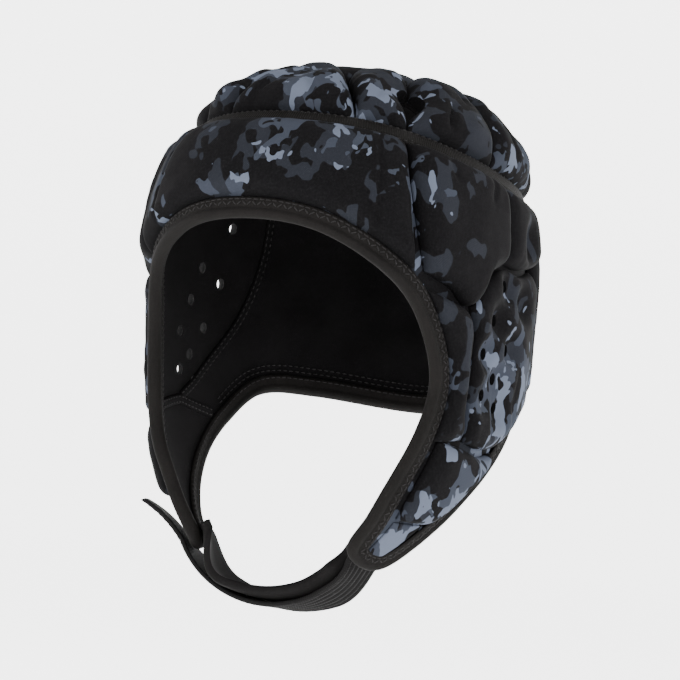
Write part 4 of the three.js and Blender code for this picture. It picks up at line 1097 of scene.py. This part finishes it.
def make_pads(form, sizes, cloth, crown):
    """All pads of the crown, or all below the tape: those of the middle once, the others on both sides."""
    middle, left = pad_patches(form)
    for name, foam in PADS.items():
        if name.startswith("crown") != crown:
            continue
        foam = getattr(sizes, foam)
        if name in middle:
            make_pad(form, sizes, cloth, name, middle[name], foam)
            continue
        for side, sign in SIDES:
            cutters = (leaf_cutters(form, sizes, sign) if name in SLIT_PADS
                       else vent_cutters(form, name, sign, sizes.vent))
            make_pad(form, sizes, cloth, side + "_" + name, on_side(left[name], sign), foam, cutters)


def make_pad(form, sizes, cloth, name, sides, foam, cutters=None, inset=0.35 * MM):
    """One foam pad in its cloth pocket, over the whole of its patch."""
    at, x, wide, y, tall = patch_grid(form, sides, inset, sizes.cell)
    seed = SEEDS[sideless(name)] + name.startswith("right")
    height = pad_heights(form, name, at, x, wide, y, tall, foam, seed, sizes)
    base = PAD_BASE - VENT_SINK * vent_dip(form, name, at)
    materials = [cloth["printed cloth"], cloth["foam"]]
    piece = wall(name + "_cloth", form.place(at, base + height), form.place(at, base), materials)
    if cutters:
        drilled(piece, *cutters, materials)
    return dressed(piece, "printed_cloth", name, fill=0.85)


class CAP_OT_side_pads(Maker, bpy.types.Operator):
    """Pad the brow, temples, ears, back, nape and cheeks, with vents through the pads over the ears"""
    bl_idname, bl_label = "cap.side_pads", "Brow, ear, back and cheek pads"

    def build(self, form, sizes, cloth):
        make_pads(form, sizes, cloth, crown=False)
        # unpadded end of each cheek, below the crease
        crease = form.line(CHEEK_CREASE)
        top = lowered(crease, 1.2 * MM)
        reach = BINDING_REACH - EDGE_CLEAR
        foot = form.along_rim(TIP_ROW + 0.55, TIP_BACK_ROW - 0.55, reach)
        near = form.along_rim(TIP_ROW - 1.1, TIP_ROW + 0.55, reach)
        far = form.along_rim(TIP_BACK_ROW + 0.6, TIP_BACK_ROW - 0.55, reach)
        flap = (top, foot, stretched(near, top(0.0), foot(0.0)), stretched(far, top(1.0), foot(1.0)))
        for side, sign in SIDES:
            at, x, wide, y, tall = patch_grid(form, on_side(flap, sign), 0.0, 0.8 * MM)
            edge = round_edge(np.minimum(x, wide - x), 3 * MM) * round_edge(np.minimum(y, tall - y), 3 * MM)
            height = 0.3 * MM + 0.9 * MM * edge + 0.2 * MM * undulation(x, y, 9, 0.012) * edge**2
            piece = wall(side + "_cheek_flap_cloth", form.place(at, PAD_BASE + height),
                         form.place(at, PAD_BASE), [cloth["printed cloth"]])
            dressed(piece, "printed_cloth", side + "_cheek_flap", fill=0.3)


def carried(form, at, across_way, across, lift):
    """Points of an outline carried to places: place + across * way + lift * normal."""
    return (form.point(at)[:, None] + across_way[:, None] * across[None, :, None]
            + form.normal(at)[:, None] * lift[None, :, None])


class CAP_OT_crown_tape(Maker, bpy.types.Operator):
    """Sew the woven tape over the seam below the crown, with a row of stitches at each edge"""
    bl_idname, bl_label = "cap.crown_tape", "Crown tape"

    def build(self, form, sizes, cloth):
        turn = np.linspace(0, 360, 541)[:-1]
        across = np.concatenate([np.linspace(-1, 1, 25), np.linspace(1, -1, 13)[1:-1]]) * TAPE_WIDTH / 2
        share = np.abs(across[:25]) / (TAPE_WIDTH / 2)
        top = 0.5 * MM + 2.3 * MM * (1 - share**6) ** 0.5 - 0.35 * MM * bell((share - 0.72) / 0.1)
        lift = LINING + np.concatenate([top, np.full(11, 0.2 * MM)])
        places = np.stack([form.beside_tape(turn, d) for d in across], 2)
        rings = form.place(places, np.broadcast_to(lift, places.shape[1:]))
        tape = swept("crown_tape_weave", rings[:, ::-1], [cloth["woven tape"]], True)
        dressed(tape, "woven_tape", "crown_tape")
        rows = [stitch_run(form, lambda t, d=d: form.beside_tape(360 * t, d), LINING + 2.35 * MM,
                           sizes.stitch) for d in (-2.9 * MM, 2.9 * MM)]
        dressed(stitches("crown_tape_stitching", *joined_runs(rows), cloth["thread"]), "woven_tape")


class CAP_OT_binding(Maker, bpy.types.Operator):
    """Fold the binding over the whole edge of the cap and stitch it down, straight and in a zigzag"""
    bl_idname, bl_label = "cap.binding", "Edge binding"

    def build(self, form, sizes, cloth):
        row = np.linspace(-LAST_ROW, LAST_ROW, 901)[:-1]
        # outline in millimetres: across (away from the cloth) and lift, out over the fold and back inside
        top = LINING / MM
        outline = np.array([
            (-6.9, top + 0.7), (-6.8, top + 1.3), (-6.2, top + 1.65), (-5.2, top + 1.55), (-4.2, top + 1.65),
            (-3.2, top + 1.6), (-2.4, top + 1.3), (-1.9, top + 1.55), (-1.0, top + 2.2), (0.0, top + 2.3),
            (1.0, top + 1.9), (1.8, top + 0.9), (2.1, 1.1), (1.8, -0.4), (1.0, -1.4), (0.0, -1.9),
            (-1.0, -1.9), (-1.9, -1.6), (-2.6, -1.5), (-4.2, -1.7), (-5.6, -1.6), (-6.6, -1.5), (-6.9, -1.0),
            (-6.9, -0.4), (-5.0, -0.35), (0.2, -0.35), (0.5, 0.2), (0.5, top), (0.2, top + 0.4),
            (-5.0, top + 0.4)]) * MM
        across, lift = outline.T
        at = form.rim(row)
        inside = np.stack([form.place(form.beside_rim(row, np.full(len(row), -d)), np.full(len(row), h))
                           for d, h in zip(np.minimum(across, 0), lift)], 1)
        away = -form.rim_inward(row)
        rings = inside + away[:, None] * np.maximum(across, 0)[None, :, None]
        pucker = 0.12 * MM * np.sin(np.arange(len(row)) * 2 * np.pi / 3.1) * (across < -2 * MM)[:, None]
        rings = rings + form.normal(at)[:, None] * (pucker.T * np.sign(lift)[None, :])[..., None]
        binding = swept("rim_binding_cloth", rings[:, ::-1], [cloth["edge binding"]], True)
        dressed(binding, "binding", "rim_binding")

        straight, zigzag, inner = (form.along_rim(-LAST_ROW, LAST_ROW, d * MM) for d in (5.6, 3.9, 5.4))
        threads = joined_runs([
            stitch_run(form, straight, LINING + 1.62 * MM, sizes.stitch),
            stitch_run(form, zigzag, LINING + 1.66 * MM, sizes.stitch * 0.8, sway=1.1 * MM),
            stitch_run(form, inner, -1.62 * MM, sizes.stitch, way=-1.0)])
        dressed(stitches("rim_binding_stitching", *threads, cloth["thread"], share=0.8), "binding")


class CAP_OT_seams(Maker, bpy.types.Operator):
    """Cover the inside seams with flat tape and stitch them, with a double row above the nape"""
    bl_idname, bl_label = "cap.seams", "Inside seams"

    def build(self, form, sizes, cloth):
        _, ear_seam, cheek_seam = seams(form)
        runs = []
        for side, sign in SIDES:
            put = (lambda f: f) if sign > 0 else (lambda f: lambda t: mirrored(f(t)))
            for label, seam, low, high in (("ear", ear_seam, 0.03, 0.97), ("cheek", cheek_seam, 0.14, 0.86)):
                curve = put(lambda t, s=seam, a=low, b=high: s(a + (b - a) * t))
                t = np.linspace(0, 1, 90)
                at = curve(t)
                ahead = unit(np.gradient(form.point(at), axis=0))
                way = unit(np.cross(form.normal(at), ahead))
                edge = np.array([-1, -0.8, 0, 0.8, 1, 0.8, -0.8]) * 2.4 * MM
                lift = np.array([-0.5, -1.05, -1.15, -1.05, -0.5, -0.45, -0.45]) * MM
                rings = carried(form, at, way, edge, lift)
                piece = swept(side + "_" + label + "_seam_tape", rings, [cloth["black lining"]], False)
                edited(piece, outward)
                dressed(piece, "lining_cloth")
                for offset in (-1.3, 1.3):
                    pairs, outs, ways = stitch_run(form, curve, -1.1 * MM, sizes.stitch, way=-1.0)
                    shift = unit(np.cross(outs, pairs[:, 1] - pairs[:, 0])) * offset * MM
                    runs.append((pairs + shift[:, None], outs, ways))
        for distance in (9.0, 11.5):
            nape = form.along_rim(NAPE_ROW, LAST_ROW, distance * MM)
            for curve in (nape, lambda t, nape=nape: opposite(nape(t))):
                runs.append(stitch_run(form, curve, -0.35 * MM, sizes.stitch, way=-1.0))
        dressed(stitches("lining_stitching", *joined_runs(runs), cloth["thread"]), "lining_cloth")


# ---- chin strap

# lengths up inside the left cheek and over the right one, free tab and its rise, starts of the chin curve past
# and before the cheeks' ends, tongue beyond the curve, and length of the curve's end slopes
STRAP_SEWN, STRAP_FASTENED, STRAP_TAB, TAB_RISE, PAST_END, BEFORE_END, TONGUE_OVERLAP, CHIN_FULLNESS = (
    np.array([12, 12, 14, 9, 3, 4, 4, 113]) * MM)
STRAP_TURN, TRACK_TURN, TRACK_DROP = 50, 120, 0.93  # turn at the cheek's foot; degrees and drop a metre up it
STRAP_ROLL, ROLL_RISE, ROLL_END, ROLL_FALL = np.radians(28), 0.28, 0.9, 0.5  # turned to the front in its middle
TONGUE_LEAVES, LIP_STARTS, LIP_RISE, LIP, LIP_AT_END = 0.76, 0.6, 0.26, 0.25, 0.95  # shares of way and width
TONGUE_WIDTH, TONGUE, TONGUE_CURL = np.array([20, 2.4, 5.0]) * MM
FLAP = 1.6 * MM
CUBIC = ((2, -3, 0, 1), (-2, 3, 0, 0), (1, -2, 1, 0), (1, -1, 0, 0))  # shares of the ends and end slopes


def strap_line(form, left, right, arc=110, step=0.0012):
    """Middle line of the strap: up inside the left cheek, round under the chin as the cubic with end slopes
    of CHIN_FULLNESS, and over the right cheek. Gives points, ways ahead, ways out and shares of the way."""
    foot = form.beside_rim((TIP_ROW + TIP_BACK_ROW) / 2, 0.0)[1]

    def track(up):
        return np.stack([STRAP_TURN + up * TRACK_TURN, foot - up * TRACK_DROP])

    def on_cheek(up, sign):
        flip = handed(sign)
        ahead = unit(form.place(track(up - 0.0005)) - form.place(track(up + 0.0005)))
        return form.place(track(up)) * flip, ahead * flip * sign, form.normal(track(up)) * flip
    up_left = np.arange(left, 0, -step) - PAST_END
    up_right = np.arange(step, right, step) + BEFORE_END
    a, b = on_cheek(np.float64(-PAST_END), 1), on_cheek(np.float64(BEFORE_END), -1)
    t = np.linspace(0, 1, arc)[:, None]
    ends = np.stack([a[0], b[0], CHIN_FULLNESS * a[1], CHIN_FULLNESS * b[1]])
    points, ahead, bend = (np.hstack([np.polyval(np.polyder(row, k), t) + 0 * t for row in CUBIC]) @ ends
                           for k in range(3))
    ahead = unit(ahead)
    bend = -unit(bend - ahead * (bend * ahead).sum(-1, keepdims=True))
    middle = np.sin(np.pi * t) ** 0.7
    out = (1 - t) * a[2] + t * b[2]
    out = unit(out - ahead * (out * ahead).sum(-1, keepdims=True))
    out = unit(out * (1 - middle) + bend * middle)
    parts = [on_cheek(up_left, 1), (points, ahead, out), on_cheek(up_right, -1)]
    shares = np.concatenate([0 * up_left, t[:, 0], 0 * up_right + 1])
    points, ahead, out = (np.concatenate([part[k] for part in parts]) for k in range(3))
    roll = (STRAP_ROLL * eased(shares / ROLL_RISE) * eased((ROLL_END - shares) / ROLL_FALL))[:, None]
    out = unit(out * np.cos(roll) + unit(np.cross(ahead, out)) * np.sin(roll))
    return points, ahead, out, shares, len(up_right)


def section(s, upper, lower, width):
    """Closed outline between an upper and a lower line: its widths across and its heights."""
    return np.concatenate([s, s[-2:0:-1]]) * width / 2, np.concatenate([upper, lower[-2:0:-1]])


def strap_rings(points, ahead, out, across, height):
    """Outline carried along the strap: point + across * front + height * out, a row to each station."""
    front = unit(np.cross(ahead, out))
    return points[:, None] + front[:, None] * across[..., None] + out[:, None] * height[..., None]


def eased(t):
    """0 below 0 and 1 above 1, with a smooth rise between: t * t * (3 - 2 * t)."""
    t = np.clip(t, 0, 1)
    return t * t * (3 - 2 * t)


def strap_lift(sizes, share):
    """Height of the strap's inner face: from inside the left cheek to outside the right one."""
    inside, outside = -(2 * GAP + BINDING + sizes.strap), LINING + 2 * GAP + max(FLAP, BINDING)
    return inside + (outside - inside) * eased(share)


class CAP_OT_chin_strap(Maker, bpy.types.Operator):
    """Weave the chin strap as one loop, with lengthwise ribs, stitched ends and a free tab on the right"""
    bl_idname, bl_label = "cap.chin_strap", "Chin strap"

    def build(self, form, sizes, cloth):
        free = STRAP_TAB + STRAP_FASTENED - BEFORE_END
        points, ahead, out, share, tail = strap_line(form, STRAP_SEWN, free)
        past = np.clip((np.arange(len(share)) - (len(share) - tail - 1)) / tail, 0, 1)
        lift = strap_lift(sizes, share) + TAB_RISE * past**2.2
        front = unit(np.cross(ahead, out))
        half = sizes.strap_width / 2
        s = np.linspace(-1, 1, 61)
        edge = round_edge(1 - np.abs(s), 0.09)
        ribs = 0.22 * MM * np.cos(s * np.pi * 7) * (np.abs(s) < 0.86)
        upper, lower = sizes.strap * (0.5 + 0.5 * edge) + ribs, sizes.strap * (0.5 - 0.5 * edge)
        across, height = section(s, upper, lower, sizes.strap_width)
        narrow = (0.82 + 0.18 * round_edge(len(share) - 1 - np.arange(len(share)), 4))[:, None]
        rings = strap_rings(points, ahead, out, across * narrow, lift[:, None] + height)
        strap = swept("chin_strap_webbing", rings, [cloth["strap webbing"]], False)
        dressed(edited(strap, outward), "strap_webbing", "chin_strap")
        line = points + out * (lift + sizes.strap + 0.05 * MM)[:, None]
        run = distances(line)
        marks = np.linspace(0, run[-1], int(run[-1] / sizes.stitch))

        def along(values):
            return np.stack([np.interp(marks, run, values[:, k]) for k in range(3)], -1)
        rows = []
        for offset in (-0.8, 0.8):
            p = along(line) + along(front) * offset * half
            rows.append((np.stack([p[:-1], p[1:]], 1), along(out)[:-1], along(front)[:-1]))
        # the bar tacks that close the tab on the cheek
        for station in (len(share) - tail + 3, len(share) - tail + 6):
            s = np.linspace(-0.8, 0.8, 13)[:, None] * half
            p = line[station] + front[station] * s
            ways = np.broadcast_to(ahead[station], (12, 3))
            rows.append((np.stack([p[:-1], p[1:]], 1), np.broadcast_to(out[station], (12, 3)), ways))
        thread = stitches("chin_strap_stitching", *joined_runs(rows), cloth["thread"], 0.2 * MM)
        dressed(thread, "strap_webbing")


class CAP_OT_chin_tongue(Maker, bpy.types.Operator):
    """Make the padded tongue that lies between the strap and the chin"""
    bl_idname, bl_label = "cap.chin_tongue", "Chin tongue"

    def build(self, form, sizes, cloth):
        points, ahead, out, share, _ = strap_line(form, TONGUE_OVERLAP, TONGUE_OVERLAP)
        under = -(3 * GAP + BINDING + TONGUE)
        apart = eased((share - TONGUE_LEAVES) / (1 - TONGUE_LEAVES))
        lift = (strap_lift(sizes, share) - GAP - TONGUE) * (1 - apart) + under * apart
        s = np.linspace(-1, 1, 41)
        curl = -TONGUE_CURL * np.clip((s - 0.15) / 0.85, 0, 1) ** 1.6
        edge = np.sqrt(np.clip(1 - np.abs(s) ** 6, 0, 1))
        upper, lower = 0.5 * curl + TONGUE * (0.5 + 0.7 * edge), curl + TONGUE * (0.5 - 0.5 * edge)
        across, height = section(s, upper, lower, TONGUE_WIDTH)
        run = distances(points)
        narrow = np.minimum(0.5 + 0.5 * eased(run / 0.016),
                            0.85 + 0.15 * eased((run[-1] - run) / 0.008))[:, None]
        lip = LIP + LIP_AT_END * eased((share - LIP_STARTS) / LIP_RISE)
        lip = 1 + lip[:, None] * (across > 0)[None]
        rings = strap_rings(points, ahead, out, across * lip * narrow, lift[:, None] + height)
        tongue = swept("chin_tongue_padding", rings, [cloth["chin padding"]], False)
        dressed(edited(tongue, outward), "chin_padding", "chin_tongue", fill=0.5)


FLOOR_LEVEL, FLOOR_RADIUS, FLOOR_SWEEP, FLOOR_GLOW, SKY = -0.42, 4, 3, 2.95, 0.95
LAMPS = (("key", (0.9, -1.3, 1.1), 1.1, 28), ("fill", (-1.4, -1.1, 0.5), 1.2, 12),  # name, place, size, watts
         ("top", (0.1, 0.2, 1.5), 1.2, 20), ("rim", (1.2, 0.9, 0.4), 0.9, 14))
LAMP_TARGET = Vector((0, 0, -0.12))
VIEW_TURN, VIEW_RISE, VIEW_ROLL = np.radians((27.0, -2.0, 5.4))
VIEW_TARGET, VIEW_DISTANCE, PICTURE = np.array([0, -0.006, -0.112]), 1.15, 680
PIXELS_A_METRE, PIXELS_RIGHT, PIXELS_UP, SENSOR = 2160, 4.5, -1, 36.0


class CAP_OT_studio(bpy.types.Operator):
    """Set the plain pale floor, the soft lights and the camera at the photograph's angle"""
    bl_idname, bl_label = "cap.studio", "Floor, lights and camera"

    def execute(self, context):
        self.floor()
        self.lights(context.scene)
        self.camera(context.scene)
        return {"FINISHED"}

    def floor(self):
        """Floor that sweeps up into a wall all round: a wide bowl with a flat bottom."""
        bend = np.linspace(0, np.pi / 2, 16)[1:]
        radius = np.concatenate([np.linspace(0, FLOOR_RADIUS, 12), FLOOR_RADIUS + FLOOR_SWEEP * np.sin(bend)])
        rise = np.concatenate([np.zeros(12), FLOOR_SWEEP * (1 - np.cos(bend))]) + FLOOR_LEVEL
        angle = circle(64)
        points = np.stack([np.outer(radius, np.cos(angle)), np.outer(radius, np.sin(angle)) + 0.5,
                           np.repeat(rise, 64).reshape(-1, 64)], -1)
        paint = Paint("studio floor", Roughness=0.9, Specular_IOR_Level=0.1, Emission_Strength=FLOOR_GLOW)
        paint.feed("Base Color", paint.mixed(paint.noise(paint.place, 3, 3.0), (0.8,) * 3, (0.83,) * 3))
        merged(mesh_object("studio_floor", points.reshape(-1, 3),
                                    grid_quads(len(radius), 64, True), [paint.material]))

    def lights(self, scene):
        """White sky and four soft lamps round the cap."""
        scene.world = bpy.data.worlds.new("studio")
        scene.world.use_nodes = True
        sky = scene.world.node_tree.nodes["Background"].inputs
        sky["Color"].default_value, sky["Strength"].default_value = (1, 1, 1, 1), SKY
        for name, place, size, power in LAMPS:
            lamp = bpy.data.lights.new(name, "AREA")
            lamp.shape, lamp.size, lamp.energy = "DISK", size, power
            light = bpy.data.objects.new(name, lamp)
            light.location = place
            light.rotation_euler = (LAMP_TARGET - Vector(place)).to_track_quat("-Z", "Y").to_euler()
            scene.collection.objects.link(light)

    def camera(self, scene):
        """Camera at the photograph's angle, rolled and shifted by a few pixels as the photograph is."""
        back = np.array([np.sin(VIEW_TURN) * np.cos(VIEW_RISE), -np.cos(VIEW_TURN) * np.cos(VIEW_RISE),
                         np.sin(VIEW_RISE)])
        right = np.array([np.cos(VIEW_TURN), np.sin(VIEW_TURN), 0.0])
        up, cos, sin = np.cross(back, right), np.cos(VIEW_ROLL), np.sin(VIEW_ROLL)
        right, up = right * cos + up * sin, up * cos - right * sin
        place = (VIEW_TARGET + back * VIEW_DISTANCE + right * PIXELS_RIGHT / PIXELS_A_METRE
                 + up * PIXELS_UP / PIXELS_A_METRE)
        camera = bpy.data.objects.new("camera", bpy.data.cameras.new("camera"))
        camera.data.sensor_width = SENSOR
        camera.data.lens = SENSOR * PIXELS_A_METRE * VIEW_DISTANCE / PICTURE
        camera.data.clip_end = 50
        pose = np.vstack([np.column_stack([right, up, back, place]), [0, 0, 0, 1]])
        camera.matrix_world = Matrix(pose.tolist())
        scene.collection.objects.link(camera)
        scene.camera = camera


class CAP_PT_panel(bpy.types.Panel):
    """Sizes, dyes and makers of the cap"""
    bl_idname, bl_label = "CAP_PT_panel", "Scrum cap"
    bl_space_type, bl_region_type, bl_category = "VIEW_3D", "UI", "Scrum cap"

    def draw(self, context):
        for group in (context.scene.cap_sizes, context.scene.cap_colours):
            box = self.layout.box()
            for key in group.__annotations__:
                box.prop(group, key)
        for maker in MAKERS:
            self.layout.operator(maker.bl_idname)


MAKERS = (CAP_OT_lining, CAP_OT_crown_pads, CAP_OT_side_pads, CAP_OT_crown_tape, CAP_OT_binding, CAP_OT_seams,
          CAP_OT_chin_strap, CAP_OT_chin_tongue, CAP_OT_studio)
CLASSES = (CapSizes, CapColours, *MAKERS, CAP_PT_panel)


def register():
    for item in CLASSES:
        bpy.utils.register_class(item)
    bpy.types.Scene.cap_sizes = bpy.props.PointerProperty(type=CapSizes)
    bpy.types.Scene.cap_colours = bpy.props.PointerProperty(type=CapColours)


def unregister():
    del bpy.types.Scene.cap_sizes, bpy.types.Scene.cap_colours
    for item in reversed(CLASSES):
        bpy.utils.unregister_class(item)


def main():
    register()
    bpy.ops.cap.lining()
    bpy.ops.cap.crown_pads()
    bpy.ops.cap.side_pads()
    bpy.ops.cap.crown_tape()
    bpy.ops.cap.binding()
    bpy.ops.cap.seams()
    bpy.ops.cap.chin_strap()
    bpy.ops.cap.chin_tongue()
    bpy.ops.cap.studio()


if __name__ == "__main__":
    main()
